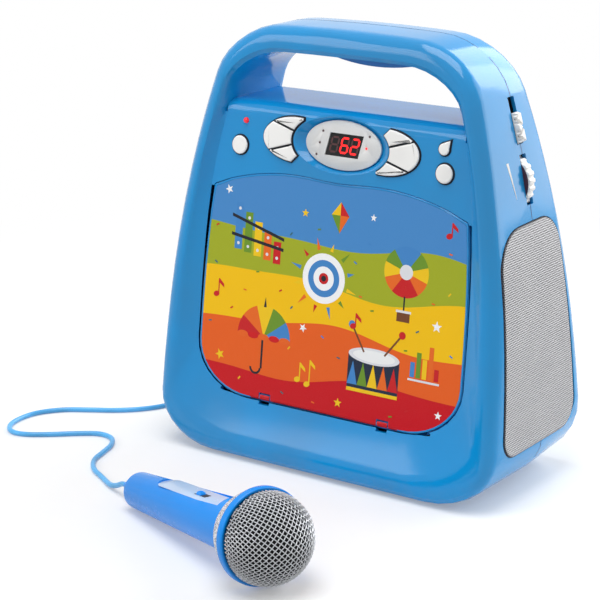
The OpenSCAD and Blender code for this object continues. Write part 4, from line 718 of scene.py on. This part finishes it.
sheetPoints, sheetDepth = grillePoints(grille)
sheetWay = np.stack([sheetDepth, 0 * sheetDepth], -1)
sheetMaterial = perforatedFinish("grilleFront")
for side, name in ((1, "right"), (-1, "left")):
    points = sheetPoints * np.array([side, 1, 1])
    faces = sheetFaces(len(sheetPoints), grille["around"], wrapCols=True).tolist()
    last = (len(sheetPoints) - 1) * grille["around"]
    faces.append([last + i for i in range(grille["around"])])
    piece = makePiece("grilleFront_" + name, points, faces, "cabinet", sheetMaterial, 60, sheetWay)
    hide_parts("grille_" + name)
print("seam and grilles")


# lid picture: soft wave bands with motifs of the builder's own
bands = [(0.0, (208, 14, 26)), (88.0, (240, 100, 30)), (121.0, (254, 200, 12)), (152.0, (168, 178, 38)),
         (181.0, (74, 142, 206))]


def printed(f, p, ink):
    # the ink slightly mottled in colour and gloss, as print is
    mottle = f.noise(p, 0.7, 2)
    f.colour(f.mix(mottle * 0.02, ink, (1.0, 1.0, 1.0, 1.0)))
    f.rough(0.24 + (mottle - 0.5) * 0.06)
    f.bump(mottle, 0.004)
    return f.material


def pictureFinish():
    # five flat inks, one above the other; each border is the sum of two slow waves
    f = Finish("pictureInks", IOR=1.5, Specular_IOR_Level=0.12)
    p, x, _, z = f.place()
    ink = linear(bands[0][1])
    for i, (height, colour) in enumerate(bands[1:]):
        wave = (x * (0.026 + 0.004 * i) + 1.7 * i).sin() * (5.0 - 0.6 * i) + (x * 0.061 + i).sin() * 1.6
        ink = f.mix((z - wave - height + 22).ramp(-0.15, 0.15), ink, linear(colour))
    return printed(f, p, ink)


pictureInks = pictureFinish()
dressed("lid_picture", pictureInks, 0, name="lidPicture")


hinge = {"s": 46.1, "n": -2.3, "r": 2.72, "half": 43.2, "ear": 52.8, "end": 61.3, "earR": 2.36,
         "earSpan": (43.95, 52.05)}


def pictureFoot(h):
    # the print goes on over the hinge edge: flat down to the hinge's height, then round its barrel
    profile = [(49.2, 0.02), (47.6, 0.02)]
    for t in np.radians(np.linspace(0, 62, 10)):
        profile.append((h["s"] - h["r"] * math.sin(t) * 0.87, h["n"] + (h["r"] - 0.4) * math.cos(t) + 0.02))
    points, faces, cols = [], [], 12
    for k, (x0, x1) in enumerate(((-h["end"], -h["ear"]), (-h["half"], h["half"]), (h["ear"], h["end"]))):
        grid = np.array([[(a, s, n) for a in np.linspace(x0, x1, cols)] for s, n in profile])
        points.append(grid.reshape(-1, 3))
        faces.append(sheetFaces(len(profile), cols) + k * len(profile) * cols)
    return np.concatenate(points), np.concatenate(faces)


points, faces = pictureFoot(hinge)
makePiece("pictureFoot", onFascia(points), faces, "lid", pictureInks)


def earCaps(h):
    # the ears that hold the lid's pins carry the print's colour on their round fronts
    turn = np.radians(np.linspace(-40, 78, 14))
    low, high = h["earSpan"]
    points, faces = [], []
    for k, span in enumerate(((-high, -low), (low, high))):
        for t in turn:
            points += [(x, h["s"] - h["earR"] * math.sin(t), h["n"] + h["earR"] * math.cos(t)) for x in span]
        faces.append(sheetFaces(len(turn), 2) + k * 2 * len(turn))
    return points, np.concatenate(faces)


points, faces = earCaps(hinge)
makePiece("earCaps", onFascia(points), faces, "cabinet", pictureInks)


lip = {"out": 0.9, "above": 62, "section": ((0.0, -1.5), (0.78, -1.5), (0.82, -1.2), (0.78, -0.95), (0.0, -0.95))}


def lidLip():
    # a low lip round the lid's edge that closes most of the gap, down to where the hinge begins
    loop = offsetLoop(faceLoop("lid_picture", 0.0), lip["out"])
    loop = np.roll(loop, -int(np.argmin(loop[:, 1])), 0)
    keep = loop[loop[:, 1] > lip["above"]]
    side = np.gradient(keep, axis=0)
    side /= np.linalg.norm(side, axis=1)[:, None]
    normal = np.stack([side[:, 1], -side[:, 0]], -1)
    rows = [raised(keep + out * normal, n) for out, n in lip["section"]]
    return onFascia(np.array(rows)), sheetFaces(len(rows), len(keep), wrapRows=True)


points, faces = lidLip()
makePiece("lidLip", points, faces, "lid", finishes["lid"])


class Inks:
    # flat shapes on the lid, each with its own colour, gathered into one mesh
    def __init__(self):
        self.points, self.faces, self.tints, self.level = [], [], [], 0.012

    def shape(self, outline, colour):
        start = len(self.points)
        self.level += 0.0008
        for x, s in outline:
            self.points.append((x, s, self.level))
        self.faces.append(list(range(start, start + len(outline))))
        self.tints.append(linear(colour))

    def moved(self, outline, at, turn=0.0):
        c, s = math.cos(math.radians(turn)), math.sin(math.radians(turn))
        return [(at[0] + x * c - y * s, at[1] + x * s + y * c) for x, y in outline]

    def disc(self, at, rx, colour, ry=None, turn=0, steps=40):
        t = np.linspace(0, 2 * np.pi, steps, endpoint=False)
        outline = np.stack([rx * np.cos(t), (ry or rx) * np.sin(t)], -1).tolist()
        self.shape(self.moved(outline, at, turn), colour)

    def bar(self, at, w, h, colour, turn=0):
        self.shape(self.moved([(-w / 2, 0), (w / 2, 0), (w / 2, h), (-w / 2, h)], at, turn), colour)

    def star(self, at, r, colour, turn=0, points=5, inner=0.42):
        t = np.linspace(0, 2 * np.pi, 2 * points, endpoint=False) + math.pi / 2
        rr = np.where(np.arange(2 * points) % 2 == 0, r, r * inner)
        self.shape(self.moved(np.stack([rr * np.cos(t), rr * np.sin(t)], -1).tolist(), at, turn), colour)

    def band(self, at, r0, r1, a0, a1, colour, steps=24):
        # part of a ring between two radii and two angles
        t = np.radians(np.linspace(a0, a1, steps))
        rim = [(at[0] + r1 * math.cos(a), at[1] + r1 * math.sin(a)) for a in t]
        core = [(at[0] + r0 * math.cos(a), at[1] + r0 * math.sin(a)) for a in t[::-1]]
        self.shape(rim + core, colour)


rainbow = [(70, 138, 204), (112, 152, 44), (250, 204, 30), (240, 110, 36), (208, 32, 36)]
white, pale, ink, wood = (255, 255, 255), (232, 233, 236), (34, 36, 44), (120, 70, 40)
notes = ((-22, 64, 12), (-14, 62, 17), (88, 178, 9), (-94, 112, 11), (20, 108, 9))
stars = ((-88, 186, 3.4, white), (84, 118, 4, white), (-88, 70, 4, rainbow[2]), (12, 54, 3.4, rainbow[2]),
         (-24, 178, 3, rainbow[2]), (30, 182, 2.6, white), (90, 60, 3, white), (-20, 100, 3.2, white))
spots = ((-96, 134), (-70, 118), (-60, 132), (-40, 122), (-30, 112), (18, 150), (24, 128), (34, 120), (70, 112),
         (92, 140), (96, 100), (80, 132), (-98, 92), (-80, 104), (-30, 84), (-4, 96), (10, 84), (62, 98), (66, 58),
         (-70, 56), (-34, 52), (-8, 50), (54, 52), (-96, 160), (-34, 162), (28, 164), (90, 166), (-12, 168))


def drawMotifs(k):
    # a pinwheel on a stand, chime bars, a target with rays, an umbrella, a drum with two sticks, a kite,
    # columns, notes, stars and confetti, each placed by a point (x, s) on the lid
    x, s = 58, 150
    for i in range(5):
        k.band((x, s), 0.2, 17, 90 + 36 * i, 126 + 36 * i, rainbow[i])
        k.band((x, s), 0.2, 17, -90 + 36 * i, -54 + 36 * i, rainbow[4 - i])
    k.disc((x, s), 5, pale)
    k.bar((x, s - 27), 1.2, 11, ink)
    k.bar((x, s - 33), 10, 7, wood)
    k.bar((x, s - 27), 11.5, 1.6, pale)
    x, s = -78, 146
    for i in range(5):
        k.bar((x + 8.2 * i, s - 1.5 * i), 6.2, 32 - 4.2 * i, rainbow[i])
        k.disc((x + 8.2 * i, s + 4 - 1.5 * i), 1.1, pale)
        k.disc((x + 8.2 * i, s + 28 - 5.7 * i), 1.1, pale)
    k.shape([(-84, 155), (-40, 149), (-40, 151.2), (-84, 157.2)], ink)
    k.shape([(-84, 168), (-40, 156), (-40, 158.2), (-84, 170.2)], ink)
    at = (-6, 136)
    for i, c in enumerate((white, rainbow[0], white, rainbow[4])):
        k.disc(at, 17 - 4.4 * i, c)
    k.disc(at, 2.0, ink)
    for i in range(6):
        ray = [(19.5, -1.4), (25 + 3 * (i % 2), 0), (19.5, 1.4)]
        for side in (0, 1):
            k.shape(k.moved(ray, at, 30 * i + 15 + 180 * side), rainbow[(i + 2 * side) % 5])
    x, s = -52, 88
    k.bar((x - 0.7, s - 22), 1.6, 24, ink)
    k.band((x - 5.5, s - 22), 3.2, 4.8, 180, 360, ink)
    for i in range(5):
        k.band((x, s), 0.1, 22, 36 * i, 36 * i + 36, rainbow[i])
    for i in range(5):
        k.disc((x + 17.6 - 8.8 * i, s), 4.4, (214, 24, 30) if i % 2 else (240, 104, 34), 2.2)
    k.shape([(x - 1.2, s + 21), (x + 1.2, s + 21), (x, s + 28)], ink)
    x, s = 38, 66
    k.bar((x, s), 40, 24, (32, 44, 66))
    for i in range(5):
        k.shape([(x - 20 + 8 * i, s + 3), (x - 16 + 8 * i, s + 19), (x - 12 + 8 * i, s + 3)], rainbow[i])
    k.disc((x, s + 24), 20, pale, 5.5)
    k.disc((x, s + 24), 16.5, (250, 250, 248), 4)
    k.bar((x, s - 1.6), 40, 2.4, rainbow[2])
    for foot, tip, high, turn, c in ((8, 20.6, 42, -38, rainbow[4]), (-8, -18.8, 43.2, 32, rainbow[0])):
        k.bar((x + foot, s + 26), 1.3, 20, wood, turn)
        k.disc((x + tip, s + high), 2.6, c)
    x, s = 4, 180
    top, right, foot, left, middle = (x, s + 9), (x + 7, s), (x, s - 12), (x - 7, s), (x, s)
    for outline, c in (([top, right, middle], 4), ([top, middle, left], 2), ([right, foot, middle], 3),
                       ([middle, foot, left], 1)):
        k.shape(outline, rainbow[c])
    for i, high in enumerate((10, 17, 13, 22, 8)):
        k.bar((68 + 4.6 * i, 82), 3.4, high, rainbow[i])
    k.bar((77, 79.6), 24, 1.4, pale)
    for x, s, high in notes:
        tone = rainbow[2 if s < 90 else 4]
        k.bar((x + 1.8, s), 0.9, high, tone)
        k.disc((x, s), 2.5, tone, 1.9, 20)
        k.shape(k.moved([(0, 0), (3.8, -3.4), (4.2, -6), (0, -3)], (x + 2.2, s + high)), tone)
    for x, s, r, c in stars:
        k.star((x, s), r, c, 12 * x)
    for i, at in enumerate(spots):
        k.bar(at, 2.6, 1.0, rainbow[(i * 3) % 5] if i % 4 else (60, 110, 120), 20 * (i % 5) - 30)


motifs = Inks()
drawMotifs(motifs)


def inkFinish():
    # flat inks, each shape with its own colour
    f = Finish("motifInks", IOR=1.5, Specular_IOR_Level=0.12)
    p, *_ = f.place()
    return printed(f, p, f.node("ShaderNodeAttribute", {"attribute_name": "ink"}))


def flatPiece(name, inks, body, material):
    mesh = bpy.data.meshes.new(name)
    mesh.from_pydata(onFascia(inks.points).tolist(), [], inks.faces)
    tint = mesh.color_attributes.new("ink", "FLOAT_COLOR", "CORNER")
    tint.data.foreach_set("color", np.repeat(np.array(inks.tints), [len(f) for f in inks.faces], 0).ravel())
    out = Vector((onFascia([0, 0, 1]) - onFascia([0, 0, 0])).tolist())
    bm = bmesh.new()
    bm.from_mesh(mesh)
    turned = [f for f in bm.faces if f.normal.dot(out) < 0]
    bmesh.ops.reverse_faces(bm, faces=turned)
    bm.to_mesh(mesh)
    bm.free()
    piece = added(name, mesh)
    mesh.materials.append(material)
    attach(piece, body)
    return piece


flatPiece("lidMotifs", motifs, "lid", inkFinish())
print("lid picture")


# display
display = {"s": 226, "digitW": 6.7, "digitH": 11.2, "slant": 0.2, "bar": 1.35, "gap": 0.2, "n": -3.75,
           "digits": ((-7.2, ""), (0.8, "acdefg"), (8.8, "abdeg"))}


def segmentShapes():
    # each segment is a long hexagon; letters a to g run round the digit from its top
    w, h, b = display["digitW"] / 2, display["digitH"] / 2, display["bar"] / 2
    gap = display["gap"]

    def level(y):
        low, high = -w + b + gap, w - b - gap
        return [(low, y), (low + b, y + b), (high - b, y + b), (high, y), (high - b, y - b), (low + b, y - b)]

    def upright(x, y0, y1):
        low, high = y0 + gap, y1 - gap
        return [(x, low), (x - b, low + b), (x - b, high - b), (x, high), (x + b, high - b), (x + b, low + b)]
    return {"a": level(h - b), "g": level(0), "d": level(-h + b), "f": upright(-w + b, 0, h - b),
            "b": upright(w - b, 0, h - b), "e": upright(-w + b, -h + b, 0), "c": upright(w - b, -h + b, 0)}


lit, unlit = Inks(), Inks()
for x0, on in display["digits"]:
    for letter, shape in segmentShapes().items():
        placed = [(x0 + x + display["slant"] * y, display["s"] + y) for x, y in shape]
        (lit if letter in on else unlit).shape(placed, (230, 30, 30))
for group, name, colour, strength in ((lit, "digitsLit", (255, 22, 24), 1.3),
                                      (unlit, "digitsUnlit", (84, 40, 42), 0.0)):
    group.points = [(x, s, display["n"]) for x, s, n in group.points]
    flatPiece(name, group, "cabinet", lampFinish(name, colour, strength))

dots = {"at": ((-16.6, 8, 0), (-18.7, 0, 0), (-20.8, -8, 0), (20.2, 8, 0), (18.2, 0, 1)), "sides": 16,
        "profile": ((0.78, -3.6), (0.78, -3.2), (0.55, -2.95), (0.05, -2.85))}
for which, colour, strength in ((0, (92, 62, 66), 0.0), (1, (235, 40, 40), 1.4)):
    # low domes beside the digits: 0 the dark ones, 1 the lit one
    name, points, faces, count = "lampDots%d" % which, [], [], dots["sides"]
    t = np.linspace(0, 2 * np.pi, count, endpoint=False)
    for x, y in [(x, y) for x, y, on in dots["at"] if on == which]:
        faces.append(sheetFaces(4, count, wrapCols=True) + len(points) * count)
        for r, n in dots["profile"]:
            points.append(onFascia(np.stack([x + r * np.cos(t), display["s"] + y + r * np.sin(t),
                                             np.full(count, n)], -1)))
    makePiece(name, np.concatenate(points), np.concatenate(faces), "cabinet",
              lampFinish(name, colour, strength), 60)
print("display")

# side controls
volume = {"r": 20.0, "proud": 4.5, "z": 210.0,
          "face": ((2.46, 3.2), (2.4, 3.5), (2.4, 18.2), (2.46, 18.5), (2.9, 18.4), (3.5, 16.5), (3.5, 3.2))}


def onWheel(p):
    # out of the wheel's rear face, then out to the side and up; its axle lies deep in the curved side
    z, deep = volume["z"], volume["r"] - volume["proud"]
    slope = math.atan(float(sideX(z - 1) - sideX(z + 1)) / 2)
    x, z = float(sideX(z)) - deep * math.cos(slope), z - deep * math.sin(slope)
    return np.stack([x + p[..., 1], p[..., 0], z + p[..., 2]], -1) * mm


# a thin dark maroon disc on the wheel's front face, painted as the shade that face sits in
revolved("wheelShadeDisc", volume["face"], onWheel, "volume", grainFinish("wheelFaceShade", (66, 30, 46), 0.4),
         96)

slider = {"z": 247.5, "y": 6.0, "length": 20.0, "width": 6.6, "foot": -0.2, "base": 0.2, "top": 3.4, "rest": 4.9,
          "step": 5.5, "groove": (2.7, 0.7), "notch": (2.4, 0.16), "roll": (1.2, 0.8)}


def onKnob(down, across, high):
    # down the leaning side from the middle of the slot, across it and out of it
    z = slider["z"]
    tilt = math.atan(float(sideX(z - 1) - sideX(z + 1)) / 2)
    x = float(sideX(z)) + down * math.sin(tilt) + high * math.cos(tilt)
    z = z - down * math.cos(tilt) + high * math.sin(tilt)
    return np.stack(np.broadcast_arrays(x, slider["y"] + across, z), -1).reshape(-1, 3) * mm


def knobCap(k):
    # a cap along the slot: its top is cut by one groove that zigzags from side to side, and its front
    # flank by notches between the ribs; ends and sides are rolled down
    rows, cols = 121, 41
    u = np.linspace(-1, 1, rows)[:, None]
    v = np.linspace(-1, 1, cols)[None, :]
    a, b = u * k["length"] / 2, v * k["width"] / 2
    zigzag = (np.abs(((a / k["step"]) % 2) - 1) * 2 - 1) * k["width"] * 0.46
    groove = np.exp(-((b - zigzag) / k["groove"][1]) ** 2)
    notch = np.exp(-((((a / k["step"]) % 1) - 0.5) / k["notch"][1]) ** 2) * np.clip((-b - 1.2) / 1.6, 0, 1)
    edge = np.clip((1 - np.abs(u)) * k["length"] / 2 / k["roll"][0], 0, 1) ** 0.5
    edge = edge * np.clip((1 - np.abs(v)) * k["width"] / 2 / k["roll"][1], 0, 1) ** 0.5
    cut = k["groove"][0] * groove + k["notch"][0] * notch * (1 - groove)
    high = k["base"] + (k["top"] - k["base"] - cut) * edge
    points = [onKnob(a + k["rest"], b, out) for out in (high, k["foot"])]
    quads = sheetFaces(rows, cols)
    grid = np.arange(rows * cols).reshape(rows, cols)
    rim = np.concatenate([grid[0], grid[1:, -1], grid[-1, -2::-1], grid[-2:0:-1, 0]])
    after = np.roll(rim, -1)
    skirt = np.stack([rim, after, after + rows * cols, rim + rows * cols], -1)
    return np.concatenate(points), np.concatenate([quads, skirt, quads[:, ::-1] + rows * cols])


points, faces = knobCap(slider)
knob = makePiece("functionCap", points, faces, "function_switch", finishes["key"], 50)
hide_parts("function_knob")

# a dark block inside the cap that shows at the bottom of its groove, as painted shade there
core = {"down": (-4.6, 13.8), "across": 2.7, "high": (-0.1, 1.15)}
down, across = np.array(core["down"] + core["down"][::-1]), core["across"] * np.array([-1, -1, 1, 1])
points = np.concatenate([onKnob(down, across, high) for high in core["high"]])
faces = [(3, 2, 1, 0), (4, 5, 6, 7), (0, 1, 5, 4), (1, 2, 6, 5), (2, 3, 7, 6), (3, 0, 4, 7)]
makePiece("knobGrooveShade", points, faces, "function_switch", wellPaintedShade, 30)

wedge = {"top": (-14.7, 223.4), "tip": (-10.0, 199.8), "wide": 2.5, "point": 0.25, "high": 0.07, "foot": -0.05}


def volumeWedge(w):
    # a thin white wedge beside the wheel, wide at the top and pointed at the bottom, wrapped on the side
    t = np.linspace(0, 1, 24)[:, None]
    u = np.array([-0.5, -0.48, 0.48, 0.5])[None, :]
    lift = np.array([w["foot"], w["high"], w["high"], w["foot"]])[None, :]
    (y0, z0), (y1, z1) = w["top"], w["tip"]
    y = y0 + (y1 - y0) * t + u * (w["wide"] * (1 - t) + w["point"])
    z = z0 + (z1 - z0) * t + 0 * u
    return onSide(np.stack([z, y, lift + 0 * y], -1)), sheetFaces(24, 4)


points, faces = volumeWedge(wedge)
makePiece("volumeWedge", points, faces, "cabinet", finishes["key"])
print("side controls")

# microphone
ball = {"a": 155.4, "r": 29.0, "pitch": 2.75, "wire": 0.33, "rise": 0.33, "reach": 47.0, "turn": 45, "under": 0.85,
        "foam": 27.2}


def ballPoint(p, q, lift):
    # the flat cloth's point (p, q) wrapped on the ball: its distance from the middle becomes arc length
    far = np.sqrt(p * p + q * q) + 1e-9
    polar = far / ball["r"]
    t = math.radians(ball["turn"])
    c, s = p / far, q / far
    c, s = c * math.cos(t) - s * math.sin(t), c * math.sin(t) + s * math.cos(t)
    radius = ball["r"] - ball["under"] + lift
    out = radius * np.sin(polar)
    return np.stack([ball["a"] + radius * np.cos(polar), out * c, out * s], -1)


def weave():
    # two families of wires, each a small tube along one line of the cloth, rising and falling by a cosine
    points, faces, start, sides = [], [], 0, 5
    count = int(ball["reach"] / ball["pitch"])
    for family in (0, 1):
        for i in range(-count, count + 1):
            p = i * ball["pitch"]
            half = math.sqrt(max(ball["reach"] ** 2 - p * p, 0))
            steps = max(int(half * 2 / 1.05), 8)
            q = np.linspace(-half, half, steps)
            lift = ball["rise"] * np.cos(math.pi * (q / ball["pitch"] + i)) * (1 - 2 * family)
            across = np.full_like(q, p)
            path = ballPoint(q, across, lift) if family else ballPoint(across, q, lift)
            points.append(onMic(tubePoints(path, ball["wire"], sides)).reshape(-1, 3))
            faces.append(sheetFaces(steps, sides, wrapCols=True) + start)
            start += steps * sides
    return np.concatenate(points), np.concatenate(faces)


points, faces = weave()
micWeave = makePiece("micWeave", points, faces, "cabinet", finishes["mic_mesh"])
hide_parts("mic_ball")
foam = [(ball["a"] - 4, 25.5)]
for t in np.radians(np.linspace(-6, 89.6, 30)):
    foam.append((ball["a"] + ball["foam"] * math.sin(t), ball["foam"] * math.cos(t)))
revolved("micFoam", foam, onMic, "cabinet", grainFinish("foamBlack", (12, 12, 13), 0.95, 1.1, 0.3),
         64)

headRing = [(146.2, 26.0), (146.2, 29.0), (146.5, 29.5), (147.4, 30.15), (148.4, 30.2), (151.2, 30.2),
            (151.9, 30.0), (152.4, 29.5), (152.4, 28.3), (151.6, 27.6), (146.2, 26.0)]
micRing = revolved("micRing", headRing, onMic, "cabinet", finishes["mic_blue"], 120)

collar = {"from": 131.7, "to": 146.2, "knurled": (132.0, 146.2), "fade": 0.6, "r": 22.4,
          "grow": 6.8, "over": 14.5, "power": 0.85, "diamonds": 84, "lean": 1.9, "deep": 0.28}


def knurl(a, t, r):
    # crossed waves round the collar that make small diamonds, fading out at both its ends
    (low, high), fade = collar["knurled"], collar["fade"]
    inside = np.clip((a - low) / fade, 0, 1) * np.clip((high - a) / fade, 0, 1)
    way, lean = collar["diamonds"] / 2 * t, a * collar["lean"]
    return collar["deep"] * inside * (np.abs(np.sin(way + lean)) + np.abs(np.sin(way - lean)) - 1)


def glitterFinish():
    # silver paint full of flakes: small cells of differing brightness and tilt
    f = Finish("collarGlitter", Metallic=0.85)
    p, *_ = f.place()
    cell = f.node("ShaderNodeTexVoronoi", {"feature": "F1"}, {"Vector": p, "Scale": 1.5}, "Color")
    grey = f.node("ShaderNodeRGBToBW", inputs=[cell])
    f.colour(f.mix(grey.ramp(0.2, 0.8), linear((132, 134, 140)), linear((250, 250, 252))))
    f.rough(0.18 + grey * 0.4)
    f.bump(grey, 0.25)
    return f.material


flare = [(131.4, 17.5), (131.4, 21.8), (collar["from"], collar["r"])]
for a in np.linspace(131.9, collar["to"], 30):
    flare.append((a, collar["r"] + collar["grow"] * ((a - collar["from"]) / collar["over"]) ** collar["power"]))
flare += [(146.4, 29.0), (146.4, 25.0)]
micCollar = revolved("micCollar", flare, onMic, "cabinet", glitterFinish(), 336, knurl, 80)
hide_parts("mic_head")
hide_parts("mic_head")


plate = {"from": 45, "to": 115, "r": 8.0, "rows": ((8.0, 12.42), (8.0, 12.52), (7.8, 12.6))}


def platePoints(p):
    # rows of the pale inlay on the handle's flat: round at the tail, straight sides, square at the head
    rows = []
    for r, high in p["rows"]:
        arc = [(p["from"] + r * math.cos(t), r * math.sin(t)) for t in np.radians(np.linspace(90, 270, 25))]
        end = p["to"] - (p["r"] - r)
        rows.append([(a, b, high) for a, b in [(end, r)] + arc + [(end, -r)]])
    return np.array(rows)


rows = platePoints(plate)
count = rows.shape[1]
faces = sheetFaces(3, count, wrapCols=True).tolist() + [[2 * count + i for i in range(count)]]
makePiece("micPlate", onMic(rows), faces, "cabinet", mouldedFinish("micPlatePale", (186, 208, 236), 0.25),
          30)

# the switch's slot is a dark face on the inlay, painted as the shade down the slot, and its nub stands at the tail
# end of it
micSwitch = {"a": 84, "slot": (6.4, 2.5, 12.63), "rest": -2, "nub": (2.6, 2.3, 12.6), "rise": 1.7, "ridge": 0.35}
slotLong, slotWide, slotHigh = micSwitch["slot"]
dark = [(micSwitch["a"] + i * slotLong, j * slotWide, slotHigh) for i, j in ((-1, -1), (1, -1), (1, 1), (-1, 1))]
makePiece("micSlotShade", onMic(dark), [[0, 1, 2, 3]], "cabinet", finishes["dark_plastic"])


def switchNub(s):
    # a rounded nub with grip ridges across it
    u = np.linspace(-1, 1, 41)[:, None]
    v = np.linspace(-1, 1, 21)[None, :]
    long, wide, foot = s["nub"]
    dome = (np.clip(1 - np.abs(u) ** 4, 0, 1) ** 0.5) * (np.clip(1 - np.abs(v) ** 4, 0, 1) ** 0.5)
    high = foot + dome * (s["rise"] + s["ridge"] * np.cos(u * np.pi * 3) * (np.abs(u) < 0.8))
    return np.stack([s["a"] + s["rest"] + u * long + 0 * v, v * wide + 0 * u, high], -1)


nub = makePiece("switchNub", onMic(switchNub(micSwitch)), sheetFaces(41, 21), "microphone_switch",
                finishes["mic_blue"], 60)
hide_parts("mic_switch")
print("microphone")

# floor, background and lights
floorMesh = bpy.data.meshes.new("floor")
floorMesh.from_pydata([(-8, -8, 0), (8, -8, 0), (8, 8, 0), (-8, 8, 0)], [], [(0, 1, 2, 3)])
added("floor", floorMesh)


def floorFinish():
    # near-white matt paper that fades into plain white light away from the object
    f = Finish("paper", Roughness=0.55)
    p, x, y, _ = f.place(1.0)
    f.colour(f.mix(f.noise(p, 0.02, 2), (0.95, 0.952, 0.956, 1.0), (0.97, 0.97, 0.972, 1.0)))
    far = ((x * x + y * y).sqrt()).ramp(0.3, 0.75) * 0.75 + 0.25
    path = f.tree.nodes.new("ShaderNodeLightPath")
    bounced = Wire(f, path.outputs["Is Diffuse Ray"])
    glow = {"Color": (1.0, 1.0, 1.0, 1.0), "Strength": 1 - bounced * 0.65}
    light = f.node("ShaderNodeEmission", inputs=glow)
    blend = f.tree.nodes.new("ShaderNodeMixShader")
    f.tree.links.new(far.socket, blend.inputs[0])
    f.tree.links.new(f.shader.outputs[0], blend.inputs[1])
    f.tree.links.new(light.socket, blend.inputs[2])
    f.tree.links.new(blend.outputs[0], f.tree.nodes["Material Output"].inputs[0])
    return f.material


floorMesh.materials.append(floorFinish())
lights = {
    "key": {"at": (0.05, -0.45, 1.9), "to": (0, 0, 0.1), "size": 1.3, "power": 26},
    "frontLeft": {"at": (-1.05, -1.35, 0.95), "to": (0, -0.05, 0.1), "size": 0.9, "power": 8},
    "rightBack": {"at": (1.35, 1.5, 1.05), "to": (0, 0, 0.35), "size": 2.1, "power": 33},
    "back": {"at": (0.35, 1.6, 1.1), "to": (0, 0, 0.25), "size": 1.2, "power": 16},
}
for name, l in lights.items():
    lamp = bpy.data.lights.new(name, "AREA")
    lamp.energy, lamp.size = l["power"], l["size"]
    aimed(added(name, lamp), l["at"], l["to"])

# plain white to the camera, in reflections and through clear parts; a quarter of that as light on the object
world = bpy.data.worlds.new("studio")
bpy.context.scene.world = world
world.use_nodes = True
tree = world.node_tree
sky = tree.nodes["Background"]
rays = tree.nodes.new("ShaderNodeLightPath")
seen = rays.outputs["Is Camera Ray"]
for ray in ("Is Glossy Ray", "Is Transmission Ray"):
    either = tree.nodes.new("ShaderNodeMath")
    either.operation = "MAXIMUM"
    tree.links.new(seen, either.inputs[0])
    tree.links.new(rays.outputs[ray], either.inputs[1])
    seen = either.outputs[0]
level = tree.nodes.new("ShaderNodeMapRange")
tree.links.new(seen, level.inputs["Value"])
level.inputs["To Min"].default_value = 0.25
level.inputs["To Max"].default_value = 1.0
tree.links.new(level.outputs[0], sky.inputs["Strength"])
sky.inputs["Color"].default_value = (1, 1, 1, 1)
bpy.context.scene.view_settings.view_transform = "Standard"
